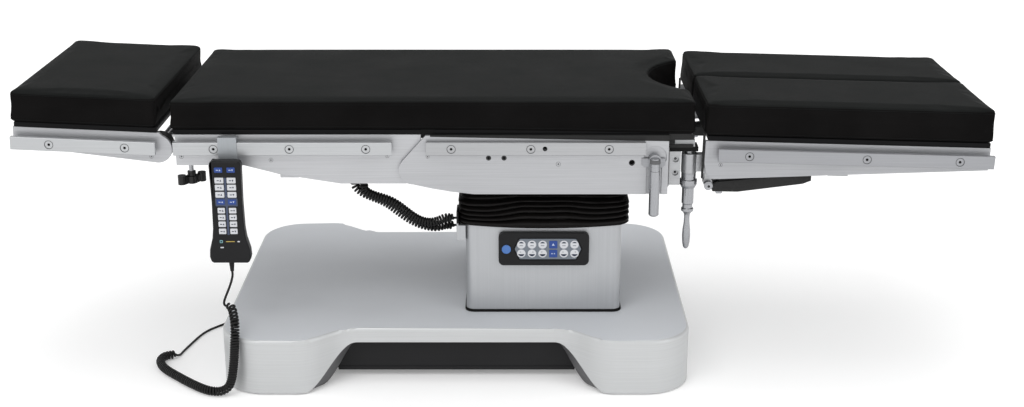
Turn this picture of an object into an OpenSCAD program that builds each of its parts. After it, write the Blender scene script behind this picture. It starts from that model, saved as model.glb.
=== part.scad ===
// Electric operating table on a lifting column, shown at its lowest height.
// X runs along the table, head at -X and feet at +X. The near side is -Y.
// Z is up from the floor, and the origin is under the middle of the table's length.
// The head section is raised a little and the leg sections are lowered a little.

/* [Table top] */
// Height of the pads' top above the floor
top_h = 620; // [610:2:660]
// Width of the pads
pad_w = 500; // [460:4:540]
// Thickness of the pads
pad_t = 60; // [50:2:70]
// Height of the crown of each pad
pad_crown = 4; // [1:1:8]
// Thickness of the boards under the pads
board_t = 12; // [10:1:16]
// Length of the back section, from its hinge to its head end
back_len = 542; // [500:2:600]
// Length of the seat section, from the back hinge to its leg end
seat_len = 566; // [560:2:620]
// Length of the head section's pad
head_len = 304; // [240:4:340]
// Length of each leg section's pad
leg_len = 608; // [500:4:660]
// Gap between the head pad and the back pad
head_gap = 31; // [30:1:40]
// Gap between the seat pad and the leg pads
leg_gap = 24; // [20:1:34]
// Gap between the two leg pads
split_gap = 3; // [2:1:8]
// Angle that the head section is raised by
head_rest = 2.6; // [0:0.2:6]
// Step up from the back's board to the head board
head_lift = 4; // [0:1:8]
// Angle that the leg sections are lowered by
leg_rest = 1.6; // [0:0.2:6]
// Step down from the seat's board to the leg boards
leg_drop = 14; // [8:1:18]
// Step down from the seat pad's top to the leg pads' tops
leg_step = 4; // [0:1:8]
// Depth of the cut-out at the seat's leg end
notch_d = 75; // [50:5:90]
// Width of the cut-out at the seat's leg end
notch_w = 276; // [220:4:300]

/* [Side plates and rails] */
// Thickness of the side plates
plate_t = 8; // [6:1:10]
// Width between the inner faces of the back, head and leg plates
inner_w = 476; // [470:2:484]
// Gap between the seat plates and the back plates inside them
plate_gap = 2; // [1.5:0.5:3]
// Height of the accessory rails
rail_h = 28.5; // [25:0.5:32]
// Thickness of the accessory rails
rail_t = 9.5; // [8:0.5:12]
// Width over the outer faces of the rails
rails_w = 540; // [534:2:560]
// Drop from the boards' underside to the middle of the rails
rail_drop = 26; // [24:1:34]
// Diameter of the rail bolts' shanks
bolt_d = 8; // [6:1:10]
// Diameter of the rail bolts' heads
bolt_head_d = 18; // [14:1:20]

/* [Base and column] */
// Length of the base
base_l = 1023; // [960:5:1080]
// Width of the base
base_w = 756; // [700:4:800]
// Height of the base's top
base_h = 127; // [115:1:140]
// Middle of the base along the table
base_x = -101; // [-121:2:-91]
// Radius of the base's corners in plan
base_r = 100; // [60:5:120]
// Depth of the recess between the base's lobes
waist_d = 66; // [40:2:90]
// Thickness of the base cover
cover_t = 4; // [3:0.5:5]
// Middle of the column along the table
column_x = 88; // [70:2:100]
// Length of the column cover
column_l = 344; // [320:4:360]
// Width of the column cover
column_w = 430; // [400:5:440]
// Height of the column cover's top
column_top = 336; // [320:2:340]
// Thickness of the pan under the base
pan_t = 3; // [2:0.5:4]
// Travel of the lifting column
lift_travel = 300; // [200:10:300]

/* [Joints] */
// Diameter of the pins of the tilting cross
cross_pin_d = 30; // [24:1:34]
// Diameter of the back hinge's pins
hinge_pin_d = 8; // [6:1:10]
// Diameter of the prongs that carry the head section
prong_d = 22; // [18:1:24]
// Diameter of the leg swivels' pins
swivel_pin_d = 18; // [14:1:20]
// Radial clearance of pins in their bores
fit = 0.05; // [0.02:0.01:0.08]

/* [Controls] */
// Width of the control panel's frame
panel_w = 199; // [180:2:210]
// Height of the control panel's frame
panel_h = 76; // [68:2:84]
// Length of the hand control's shell
handset_l = 228; // [200:2:240]
// Outer diameter of the hand control's curly cord
curl_d = 19; // [16:1:22]
// Diameter of the cords
cord_d = 5.4; // [4.6:0.2:6]

/* [Hidden] */
$fn = 64;
e = 0.01;

// Heights of the top's layers
pad_z = top_h - pad_t;
board_z = pad_z - board_t;
rail_z = board_z - rail_drop;

// Places along the table
hinge_x = column_x - 246;
seat_x1 = hinge_x + seat_len;
back_x0 = hinge_x - back_len;
head_x1 = back_x0 - head_gap;
head_x0 = head_x1 - head_len;
leg_x0 = seat_x1 + leg_gap;
leg_x1 = leg_x0 + leg_len;

// Middle of the column's cover, a little to the leg end of the masts
cover_x = column_x + 4;
cover_end = cover_x - column_l / 2;

// Places across the table, measured from its middle
plate_y = inner_w / 2;
seat_plate_y = plate_y + plate_t + plate_gap;
rail_y = rails_w / 2 - rail_t;
board_w = pad_w - 2;

// Back hinge, whose knuckles lie in the gap between the boards
knuckle_r = hinge_pin_d / 2 + 5.5;
hinge_z = pad_z - knuckle_r - 0.5;
fold_deg = 37;

// Head joint, a round boss at the end of the head plates
hub_r = 31;
hub_x = head_x1 - 4;
hub_z = board_z - 32;
hub_pin_d = 16;

// Leg swivel axis and leg tilt axis
swivel_x = seat_x1 - 3;
swivel_y = plate_y - 23;
swivel_r = swivel_pin_d / 2 + 8;
leg_hx = leg_x0 + 14;
leg_hz = board_z - 56;
leg_pin_d = 12;

// Lower pin of the leg's strut on the swivel, and its upper pin at the leg
strut_x0 = leg_hx;
strut_z0 = leg_hz - 58;
clevis_x = leg_hx + 280;
clevis_z = leg_hz - 20;
strut_x1 = leg_hx + (clevis_x - leg_hx) * cos(leg_rest) + (clevis_z - leg_hz) * sin(leg_rest);
strut_z1 = leg_hz - (clevis_x - leg_hx) * sin(leg_rest) + (clevis_z - leg_hz) * cos(leg_rest);
strut_pin_d = 8;
strut_len = norm([strut_x1 - strut_x0, strut_z1 - strut_z0]);
strut_deg = atan2(strut_z1 - strut_z0, strut_x1 - strut_x0);

// Tilting cross in the column's head
cross_z = board_z - 68;
cross_half = 58;
ear_t = 22;
ear_r = cross_pin_d / 2 + 13;
cross_gap = 2;

// Lifting column, each mast inside the next
mast_wall = 8;
mast_gap = 0.3;
outer_l = 180;
outer_w = 200;
mid_l = outer_l - 2 * mast_wall - 2 * mast_gap;
mid_w = outer_w - 2 * mast_wall - 2 * mast_gap;
inner_l = mid_l - 2 * mast_wall - 2 * mast_gap;
inner_wd = mid_w - 2 * mast_wall - 2 * mast_gap;
mast_top = cross_z - 75;
outer_top = column_top - 18;
mid_top = outer_top + 8;

// Layers of the leg sections
leg_board_z = board_z - leg_drop;
leg_pad_z = pad_z - leg_drop;
leg_pad_t = pad_t + leg_drop - leg_step;

// Base
foot_h = 16;
cover_z = 3;
chassis_t = 10;
arch_h = 95;
arch_half = 331;
arch_slope = 112;
lobe_half = 325;
waist_half = 235;
mast_foot = foot_h + 30;
// Entry of the hand control's cord in the base's head end
gland_x = base_x - base_l / 2;
gland_y = 10;
gland_z = 40;

// Helpers

module both() {
    children();
    mirror([0, 1, 0]) children();
}

// The far side as it is modelled, or its mirror image on the near side
module side(near) {
    if (near) mirror([0, 1, 0]) children();
    else children();
}

// A plate in the XZ plane, from y to y + t
module xz(y, t) {
    translate([0, y + t, 0]) rotate([90, 0, 0]) linear_extrude(t) children();
}

module box(x0, x1, y0, y1, z0, z1) {
    translate([x0, y0, z0]) cube([x1 - x0, y1 - y0, z1 - z0]);
}

module cyl_y(x, z, y0, y1, r) {
    translate([x, y0, z]) rotate([-90, 0, 0]) cylinder(h = y1 - y0, r = r);
}

module cyl_x(y, z, x0, x1, r) {
    translate([x0, y, z]) rotate([0, 90, 0]) cylinder(h = x1 - x0, r = r);
}

module cyl_z(x, y, z0, z1, r) {
    translate([x, y, z0]) cylinder(h = z1 - z0, r = r);
}

module round_rect(l, w, r) {
    union() {
        square([l - 2 * r, w], center = true);
        square([l, w - 2 * r], center = true);
        for (i = [-1, 1], j = [-1, 1])
            translate([i * (l / 2 - r), j * (w / 2 - r)]) circle(r = r);
    }
}

module turned(x, z, deg) {
    translate([x, 0, z]) rotate([0, deg, 0]) translate([-x, 0, -z]) children();
}

module head_pose() {
    turned(hub_x, hub_z, head_rest) children();
}

module leg_pose() {
    turned(leg_hx, leg_hz, leg_rest) children();
}

function smooth(t) = t * t * (3 - 2 * t);

// A straight ramp from 0 to 1 with a short bend of length r at each end
function ramp(t, r = 0.18) = t < r ? t * t / (2 * r * (1 - r))
    : t > 1 - r ? 1 - (1 - t) * (1 - t) / (2 * r * (1 - r)) : (t - r / 2) / (1 - r);

// Pads: a crowned closed form whose sides draw in between rounded corners

function pad_us(n) = concat([0, 0.012, 0.04], [for (i = [1 : n - 1]) i / n], [0.96, 0.988, 1]);

// Half the length of the notch's chord and its radius
notch_r = (notch_w * notch_w / 4 + notch_d * notch_d) / (2 * notch_d);
function notch_x(y) = abs(y) < notch_w / 2
    ? notch_d - notch_r + sqrt(notch_r * notch_r - y * y) : 0;

// One pad from x0 to x1 and y0 to y1 on z0. lean0 and lean1 tilt its ends,
// notch is 1 where the end at x1 has the cut-out.
module pad(x0, x1, y0, y1, z0, nx, ny, lean0 = 0, lean1 = 0, notch = 0, h = pad_t) {
    r = 20;
    draw = 2.5;
    us = pad_us(nx);
    vs = notch == 0 ? pad_us(ny) : [for (i = [0 : 16]) i / 16];
    nu = len(us) - 1;
    nv = len(vs) - 1;
    // Inset and height of each loop up the side
    loops = [[2.5, 0, 0], [0.4, 5, 0.4], [0, h * 0.5, 1], [0.4, h - 12, 0.4], [3, h - 3.5, 0], [9, h,
        0]];
    last = len(loops) - 1;
    function grow(u, l) = let(d = min(u, 1 - u) * l)
        d < r ? r - sqrt(r * r - (r - d) * (r - d)) : 0;
    function point(u, v, k) = let(
        inset = loops[k][0],
        z = loops[k][1],
        in_v = draw * loops[k][2] * 4 * u * (1 - u),
        in_u = draw * loops[k][2] * 4 * v * (1 - v),
        half = (y1 - y0) / 2 - inset - in_v - grow(u, x1 - x0),
        y = (y0 + y1) / 2 + half * (2 * v - 1),
        a = x0 + inset + in_u - lean0 * (z + z0 - hinge_z),
        b = x1 - inset - in_u - lean1 * (z + z0 - hinge_z) - notch * notch_x(y))
        [a + (b - a) * u, y, z0 + z];
    function top(u, v) = let(p = point(u, v, last), s = 2 * u - 1, t = 2 * v - 1)
        [p[0], p[1], p[2] + pad_crown * (1 - s * s * s * s) * (1 - t * t * t * t)];
    // Walk round the edge of the grid
    walk = concat([for (i = [0 : nu - 1]) [i, 0]], [for (j = [0 : nv - 1]) [nu, j]],
        [for (i = [nu : -1 : 1]) [i, nv]], [for (j = [nv : -1 : 1]) [0, j]]);
    n = len(walk);
    w = nv + 1;
    grid = (nu + 1) * w;
    function at(i, j) = i * w + j;
    // Index of the point of loop k at step q of the walk
    function loop_at(k, q) = let(p = walk[q % n])
        k == 0 ? at(p[0], p[1]) : k == last ? grid + at(p[0], p[1]) : 2 * grid + (k - 1) * n + q % n;
    points = concat(
        [for (u = us, v = vs) point(u, v, 0)],
        [for (u = us, v = vs) top(u, v)],
        [for (k = [1 : last - 1], q = walk) point(us[q[0]], vs[q[1]], k)]);
    faces = concat(
        [for (i = [0 : nu - 1], j = [0 : nv - 1]) each [
            [at(i, j), at(i + 1, j), at(i + 1, j + 1)],
            [at(i, j), at(i + 1, j + 1), at(i, j + 1)],
            [grid + at(i, j), grid + at(i + 1, j + 1), grid + at(i + 1, j)],
            [grid + at(i, j), grid + at(i, j + 1), grid + at(i + 1, j + 1)]]],
        [for (k = [0 : last - 1], q = [0 : n - 1]) each [
            [loop_at(k, q), loop_at(k + 1, q), loop_at(k + 1, q + 1)],
            [loop_at(k, q), loop_at(k + 1, q + 1), loop_at(k, q + 1)]]]);
    polyhedron(points, faces);
}

// Cords: one closed tube swept along points, with its ends square to the path

function unit(v) = v / norm(v);
function heading(p, i) = unit(p[min(i + 1, len(p) - 1)] - p[max(i - 1, 0)]);

// Rings of a tube with n sides; the sides are turned to a reference direction
function ring(c, t, ref, r, n) = let(a = unit(cross(t, ref)), b = cross(a, t))
    [for (k = [0 : n - 1]) c + r * (cos(360 * k / n) * a + sin(360 * k / n) * b)];

module tube(rings) {
    n = len(rings[0]);
    m = len(rings);
    polyhedron([for (g = rings) each g], concat(
        [[for (k = [0 : n - 1]) k]],
        [for (i = [0 : m - 2], k = [0 : n - 1]) each [
            [i * n + k, (i + 1) * n + k, (i + 1) * n + (k + 1) % n],
            [i * n + k, (i + 1) * n + (k + 1) % n, i * n + (k + 1) % n]]],
        [[for (k = [n - 1 : -1 : 0]) (m - 1) * n + k]]));
}

// A free cord through hand-chosen points
module free_cord(route, ref, sides = 8) {
    tube([for (i = [0 : len(route) - 1]) ring(route[i], heading(route, i), ref, cord_d / 2, sides)]);
}

// A point on a smooth curve through the route's points, for t from 0 to 1
function curve(p, t) = let(
    m = len(p) - 1,
    s = min(floor(t * m), m - 1),
    f = t * m - s,
    p1 = p[s],
    p2 = p[s + 1],
    p0 = s > 0 ? p[s - 1] : 2 * p1 - p2,
    p3 = s < m - 1 ? p[s + 2] : 2 * p2 - p1)
    ((2 * p1) + (p2 - p0) * f + (2 * p0 - 5 * p1 + 4 * p2 - p3) * f * f
        + (3 * p1 - p0 - 3 * p2 + p3) * f * f * f) / 2;

// Rings of a curly cord along a route: a straight lead in, the curls, a straight lead out
curl_rings = 8;
curl_sides = 6;
function curly_centres(route, curls, ref) = let(
    n = curls * curl_rings,
    big = (curl_d - cord_d) / 2,
    axis = [for (i = [0 : n]) curve(route, i / n)])
    [for (i = [0 : n]) let(
        t = heading(axis, i),
        a = unit(cross(t, ref)),
        b = cross(a, t),
        ease = smooth(min(1, min(i, n - i) / curl_rings)),
        ang = 360 * i / curl_rings)
        axis[i] + big * ease * (cos(ang) * a + sin(ang) * b)];
module curly(route, curls, ref) {
    c = curly_centres(route, curls, ref);
    n = len(c) - 1;
    start = unit(c[0] - c[1] + (route[0] - route[1]) * 0.5);
    stop = unit(route[len(route) - 1] - route[len(route) - 2]);
    all = concat([route[0] + unit(route[0] - route[1]) * cord_d], c, [route[len(route) - 1] +
        stop * cord_d]);
    axis = concat([route[0]], [for (i = [0 : n]) curve(route, i / n)], [route[len(route) - 1]]);
    tube([for (i = [0 : n + 2]) let(t = i < 2 ? unit(route[1] - route[0]) : i > n ? stop :
        heading(all, i))
        ring(all[i], t, i < 2 || i > n ? ref : unit(all[i] - axis[i] + [0.01, 0.013, 0.017]),
            cord_d / 2, curl_sides)]);
}

// Least gap between turns, measured on the curls' centre points
function least_gap(c) = min([for (i = [0 : len(c) - 1 - curl_rings + 2])
    for (j = [i + curl_rings - 2 : min(i + curl_rings + 2, len(c) - 1)]) norm(c[j] - c[i])]) - cord_d;

// Base

function base_side(w, sx, sy) = let(
    hl = base_l / 2 - w,
    hw = base_w / 2 - w,
    r = base_r - w,
    lobe = lobe_half - w * 0.4,
    waist = waist_half - w * 0.4,
    quarter = concat(
        [for (a = [0 : 7.5 : 90]) [hl - r + r * cos(a), hw - r + r * sin(a)]],
        [for (t = [0, 0.06, 0.12, 0.18, 0.5, 0.82, 0.88, 0.94, 1])
            [lobe - (lobe - waist) * t, hw - waist_d * ramp(t)]]))
    [for (p = sx * sy > 0 ? quarter : [for (i = [len(quarter) - 1 : -1 : 0]) quarter[i]]) [p[0] * sx,
        p[1] * sy]];

module base_outline(w) {
    translate([base_x, 0])
        polygon(concat(base_side(w, 1, 1), base_side(w, -1, 1), base_side(w, -1, -1), base_side(w, 1,
            -1)));
}

// The opening under the base between its lobes, grown by g
module arch(g) {
    half = arch_half + g;
    curve_pts = [for (k = [0 : 12]) [half - arch_slope * k / 12, (arch_h + g) * smooth(k / 12)]];
    translate([base_x, 0])
        polygon(concat([[half, -20]], curve_pts,
            [for (i = [12 : -1 : 0]) [-curve_pts[i][0], curve_pts[i][1]]], [[-half, -20]]));
}

module base_cover() color([0.68, 0.70, 0.72]) {
    lip = 24;
    difference() {
        union() {
            difference() {
                translate([0, 0, cover_z]) linear_extrude(base_h - cover_z) base_outline(0);
                translate([0, 0, cover_z - 1]) linear_extrude(base_h - cover_z + 1 - cover_t)
                    base_outline(cover_t);
            }
            // Return along the edge of each arch
            both() intersection() {
                translate([0, 0, cover_z]) linear_extrude(base_h - cover_z - cover_t)
                    base_outline(cover_t / 2);
                difference() {
                    xz(base_w / 2 - waist_d - lip, waist_d + lip) arch(cover_t);
                    xz(base_w / 2 - waist_d - lip - 1, waist_d + lip + 2) arch(0);
                }
            }
        }
        both() xz(base_w / 2 - waist_d - lip - 1, waist_d + lip + 2) arch(0);
        // Way through for the masts
        box(column_x - outer_l / 2 - 6, column_x + outer_l / 2 + 6, -outer_w / 2 - 6, outer_w / 2 +
            6, base_h - 20, base_h + 1);
    }
}

// Welded steel frame that stands on the feet, with dark front panels
module chassis() color([0.13, 0.13, 0.14]) {
    hl = base_l / 2 - 70;
    hw = base_w / 2 - waist_d - 30;
    difference() {
        union() {
            box(base_x - hl, base_x + hl, -hw, hw, foot_h + 4, foot_h + 4 + chassis_t);
            // Pan that closes the lobes from below, cut out along the arches
            difference() {
                translate([0, 0, foot_h + 4]) linear_extrude(pan_t) base_outline(cover_t + 1);
                both() xz(hw, base_w / 2 - hw) arch(cover_t + 1);
            }
            both() {
                box(base_x - arch_half + 20, base_x + arch_half - 20, hw - 4, hw, foot_h + 4,
                    base_h - cover_t - 8);
                box(base_x - hl, base_x + hl, hw - 64, hw - 34, foot_h + 4, base_h - cover_t);
                for (i = [-1, 1])
                    box(base_x + i * (hl - 60) - 50, base_x + i * (hl - 60) + 50, hw - 70,
                        base_w / 2 - 50, foot_h + 4, mast_foot);
            }
            box(column_x - outer_l / 2 - 30, column_x + outer_l / 2 + 30, -outer_w / 2 - 30,
                outer_w / 2 + 30, foot_h + 4, mast_foot);
        }
        for (i = [-1, 1], j = [-1, 1])
            cyl_z(base_x + i * (hl - 60), j * (base_w / 2 - 100), 0, 60, 8.2);
    }
}

module floor_feet() color([0.08, 0.08, 0.08]) {
    hl = base_l / 2 - 70;
    for (i = [-1, 1], j = [-1, 1]) translate([base_x + i * (hl - 60), j * (base_w / 2 - 100), 0]) {
        cylinder(h = foot_h - 6, r1 = 36, r2 = 30);
        translate([0, 0, foot_h - 6 - e]) cylinder(h = 10 + e, r = 18);
        translate([0, 0, foot_h + 4 - e]) cylinder(h = 44, r = 8);
        translate([0, 0, mast_foot]) cylinder(h = 8, r = 13, $fn = 6);
    }
}

// Hydraulic pump with its motor and tank, two batteries and the control box
module power_pack() color([0.25, 0.27, 0.30]) {
    z = foot_h + 4 + chassis_t;
    x = base_x - base_l / 2 + 110;
    box(x, x + 150, -170, -70, z, z + 80);
    box(x, x + 150, -60, 40, z, z + 80);
    for (y = [-120, -10], i = [30, 120]) cyl_z(x + i, y, z + 80, z + 86, 6);
    box(x, x + 150, 60, 170, z, z + 62);
    translate([x + 175, -60, z]) {
        cube([90, 120, 70]);
        translate([90 - e, 60, 38]) rotate([0, 90, 0]) cylinder(h = 110, r = 36);
        translate([30, 30, 70 - e]) cylinder(h = 14, r = 10);
    }
}

// Fixed mast with the barrel of the lifting cylinder inside it
module outer_mast() color([0.55, 0.57, 0.60]) {
    z0 = mast_foot;
    difference() {
        translate([column_x - outer_l / 2, -outer_w / 2, z0]) cube([outer_l, outer_w, outer_top - z0]);
        translate([column_x - outer_l / 2 + mast_wall, -outer_w / 2 + mast_wall, z0 + 8])
            cube([outer_l - 2 * mast_wall, outer_w - 2 * mast_wall, outer_top]);
    }
    difference() {
        cyl_z(column_x, 0, z0 + 8 - e, outer_top - 6, 30);
        cyl_z(column_x, 0, z0 + 14, outer_top, 25);
    }
}

module column_cover() color([0.76, 0.76, 0.75]) {
    t = 3;
    difference() {
        translate([cover_x, 0, base_h]) linear_extrude(column_top - base_h) round_rect(column_l,
            column_w, 18);
        translate([cover_x, 0, base_h - 1]) linear_extrude(column_top) round_rect(column_l - 2 * t,
            column_w - 2 * t, 15);
    }
    // Inner ledge that seats the cover on the outer mast
    difference() {
        translate([cover_x, 0, outer_top - 10]) linear_extrude(4) round_rect(column_l - t,
            column_w - t, 16);
        box(column_x - outer_l / 2 - 0.2, column_x + outer_l / 2 + 0.2, -outer_w / 2 - 0.2,
            outer_w / 2 + 0.2, 0, 500);
    }
}

// Control panel on the column's near face
panel_x = cover_x;
panel_z = column_top - 56;
panel_t = 12;
panel_y = -column_w / 2;
foil_w = panel_w - 50;
foil_h = panel_h - 26;
foil_x = panel_x + 9;
button_x = panel_x - panel_w / 2 + 17;
module panel_frame() color([0.04, 0.04, 0.05]) {
    difference() {
        translate([panel_x, panel_y, panel_z]) rotate([90, 0, 0]) linear_extrude(panel_t)
            round_rect(panel_w, panel_h, 12);
        translate([foil_x, panel_y - panel_t + 2, panel_z]) rotate([90, 0, 0]) linear_extrude(4)
            foil_outline(0);
        cyl_y(button_x, panel_z, panel_y - panel_t - 1, panel_y - 2, 10.3);
    }
}

module foil_outline(g) {
    square([foil_w - 24 - 2 * g, foil_h - 2 * g], center = true);
    polygon([[-foil_w / 2 + g, 0], [-foil_w / 2 + 12, foil_h / 2 - g], [foil_w / 2 - 12, foil_h / 2 - g],
        [foil_w / 2 - g, 0], [foil_w / 2 - 12, -foil_h / 2 + g], [-foil_w / 2 + 12, -foil_h / 2 + g]]);
}

module panel_foil() color([0.72, 0.74, 0.76]) {
    y = panel_y - panel_t;
    translate([foil_x, y + 2, panel_z]) rotate([90, 0, 0]) linear_extrude(1.2) foil_outline(0.3);
    for (i = [-2.5 : 2.5], j = [-1, 1])
        translate([foil_x + i * 23.4, y + 0.8 + e, panel_z + j * 10.4]) rotate([90, 0, 0])
            cylinder(h = 1.4, r1 = 9.4, r2 = 8.6);
}

module power_button() color([0.15, 0.32, 0.66]) {
    cyl_y(button_x, panel_z, panel_y - panel_t - 2, panel_y - 4.5, 10);
    translate([button_x, panel_y - panel_t - 2 + e, panel_z]) rotate([90, 0, 0]) cylinder(h = 1,
        r1 = 10, r2 = 8.5);
}

// Bellows, a stack of flat folds that hang a little over the column's cover
folds = 9;
module bellows() color([0.05, 0.05, 0.05]) {
    top = mast_top - 1;
    bottom = column_top + 0.3;
    step = (top - bottom) / folds;
    l = column_l + 32;
    w = column_w + 10;
    difference() {
        union() for (i = [0 : folds - 1]) {
            translate([cover_x, 0, bottom + step * i]) linear_extrude(step * 0.55) round_rect(l, w, 22);
            translate([cover_x, 0, bottom + step * (i + 0.55) - e]) linear_extrude(step * 0.45 + 2 * e)
                round_rect(l - 24, w - 24, 16);
        }
        translate([cover_x, 0, bottom - 1]) linear_extrude(top - bottom - 3) round_rect(l - 44,
            w - 44, 10);
        box(column_x - inner_l / 2 - 0.3, column_x + inner_l / 2 + 0.3, -inner_wd / 2 - 0.3,
            inner_wd / 2 + 0.3, top - 10, top + 10);
    }
}

module mast_tube(l, w, z0, z1) {
    difference() {
        box(column_x - l / 2, column_x + l / 2, -w / 2, w / 2, z0, z1);
        box(column_x - l / 2 + mast_wall, column_x + l / 2 - mast_wall, -w / 2 + mast_wall,
            w / 2 - mast_wall, z0 - 1, z1 + 1);
    }
}

module middle_mast() color([0.62, 0.64, 0.66]) {
    z0 = foot_h + 40;
    mast_tube(mid_l, mid_w, z0, mid_top);
    // Middle stage of the cylinder, tied to the mast by a bridge at its foot
    difference() {
        union() {
            cyl_z(column_x, 0, z0 + 4, mid_top - 6, 24.7);
            box(column_x - mid_l / 2 + mast_wall - e, column_x + mid_l / 2 - mast_wall + e, -12, 12,
                mid_top - 14, mid_top - 8);
        }
        cyl_z(column_x, 0, z0 + 10, mid_top, 19);
    }
}

// Top stage with the yoke that carries the cross
module inner_mast() color([0.66, 0.68, 0.70]) {
    z0 = mid_top - 1;
    slot = 13;
    difference() {
        union() {
            difference() {
                mast_tube(inner_l, inner_wd, foot_h + 50, mast_top);
                // Slots that pass the bridge of the middle stage
                box(column_x - inner_l, column_x + inner_l, -slot, slot, foot_h + 49, mid_top + 4);
            }
            box(column_x - inner_l / 2, column_x + inner_l / 2, -inner_wd / 2, inner_wd / 2,
                mast_top - 8, mast_top);
            both() xz(cross_half + cross_gap, ear_t) difference() {
                union() {
                    translate([column_x - ear_r - 8, mast_top - e]) square([2 * ear_r + 16, 22]);
                    polygon([[column_x - ear_r - 8, mast_top + 20], [column_x - ear_r, cross_z],
                        [column_x + ear_r, cross_z], [column_x + ear_r + 8, mast_top + 20]]);
                    translate([column_x, cross_z]) circle(r = ear_r);
                }
                translate([column_x, cross_z]) circle(r = cross_pin_d / 2 + fit);
            }
        }
        cyl_z(column_x, 0, z0, mast_top - 14, 18.7);
    }
    cyl_z(column_x, 0, foot_h + 70, mast_top - 8 + e, 18.6);
}

module tilt_cross() color([0.48, 0.50, 0.53]) {
    difference() {
        box(column_x - cross_half, column_x + cross_half, -cross_half, cross_half, cross_z - 24,
            cross_z + 24);
        for (i = [-1, 1], j = [-1, 1]) translate([column_x + i * cross_half, j * cross_half,
            cross_z - 30])
            rotate([0, 0, 45]) cube([34, 34, 120], center = true);
        cyl_z(column_x, 0, cross_z - 30, cross_z + 30, 14);
    }
    both() cyl_y(column_x, cross_z, cross_half - e, cross_half + cross_gap + ear_t, cross_pin_d / 2);
    for (i = [0, 1]) translate([column_x, 0, 0]) mirror([i, 0, 0])
        cyl_x(0, cross_z, cross_half - e, cross_half + cross_gap + ear_t, cross_pin_d / 2);
}

// Seat frame: two beams, cross tubes, the plate and ears on the cross, the hinge knuckles
beam_y = 150;
beam_t = 30;
beam_drop = 56;
seat_beam_x0 = hinge_x + 30;
lug_t = 14;
lug_gap = 0.5;
module seat_frame() color([0.60, 0.62, 0.64]) {
    difference() {
        union() {
            both() {
                difference() {
                    box(seat_beam_x0, seat_x1 - 56, beam_y, beam_y + beam_t, board_z - beam_drop,
                        board_z);
                    box(seat_beam_x0 + 20, seat_x1 - 80, beam_y + 4, beam_y + beam_t - 4,
                        board_z - beam_drop - 1, board_z - 8);
                }
                // Knuckles each side of the back's own
                for (y = [beam_y - lug_t + 4, beam_y + beam_t - 4]) {
                    cyl_y(hinge_x, hinge_z, y, y + lug_t, knuckle_r);
                    box(hinge_x, seat_beam_x0 + 30, y, y + lug_t, hinge_z - knuckle_r, board_z);
                }
            }
            for (x = [hinge_x + 50, seat_x1 - 122])
                box(x, x + 34, -seat_plate_y, seat_plate_y, board_z - 26, board_z);
            box(column_x - 100, column_x + 100, -beam_y - e, beam_y + e, board_z - 12, board_z);
            for (i = [0, 1]) translate([column_x, 0, 0]) mirror([i, 0, 0]) rotate([0, 0, 90])
                xz(-cross_half - cross_gap - ear_t, ear_t) {
                    difference() {
                        union() {
                            translate([-ear_r - 6, cross_z]) square([2 * ear_r + 12,
                                board_z - cross_z - 12 + e]);
                            translate([0, cross_z]) circle(r = ear_r);
                        }
                        translate([0, cross_z]) circle(r = cross_pin_d / 2 + fit);
                    }
                }
            // End arms that carry the leg mounts, clear of the cut-out
            both() {
                box(seat_x1 - 58, seat_x1 + 6, beam_y, swivel_y + 18, board_z - 31, board_z - 16);
                box(seat_x1 - 58, seat_x1 - 40, beam_y, swivel_y + 18, board_z - 31, board_z);
            }
        }
        both() cyl_y(hinge_x, hinge_z, beam_y - 20, beam_y + beam_t + 20, hinge_pin_d / 2);
    }
    both() cyl_y(hinge_x, hinge_z, beam_y - lug_t + 3, beam_y + beam_t + lug_t - 3, hinge_pin_d / 2);
}

module notched(x0, x1, w, g) {
    difference() {
        translate([x0, -w / 2]) square([x1 - x0, w]);
        translate([seat_x1 - notch_d + notch_r - g, 0]) circle(r = notch_r);
    }
}

module seat_board() color([0.10, 0.10, 0.11]) {
    x0 = hinge_x + 14;
    translate([0, 0, board_z]) linear_extrude(board_t) notched(x0, seat_x1 - 2, board_w, 6);
}

module seat_pad() color([0.07, 0.07, 0.08]) {
    pad(hinge_x + 1, seat_x1, -pad_w / 2, pad_w / 2, pad_z, 6, 0, lean0 = -tan(fold_deg), notch = 1);
}

// Foam wedge over the hinge, which folds when the back is raised
module pad_fold() color([0.07, 0.07, 0.08]) {
    h0 = pad_z - hinge_z;
    h1 = top_h - 2 - hinge_z;
    w = pad_w / 2 - 6;
    xz(-w, 2 * w) polygon([
        [hinge_x - tan(fold_deg) * h0 + 0.2, pad_z + 0.2], [hinge_x - tan(fold_deg) * h1 + 0.2,
            top_h - 2],
        [hinge_x + tan(fold_deg) * h1 - 0.2, top_h - 2], [hinge_x + tan(fold_deg) * h0 - 0.2, pad_z +
            0.2]]);
}

// Lock lever: a straight grip that hangs from a pivot in the seat plate's round pocket
lever_x = seat_x1 - 82;
lever_z = board_z - 51;
lever_r = 11;
lever_y = rails_w / 2;
lever_pin_d = 12;

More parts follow.
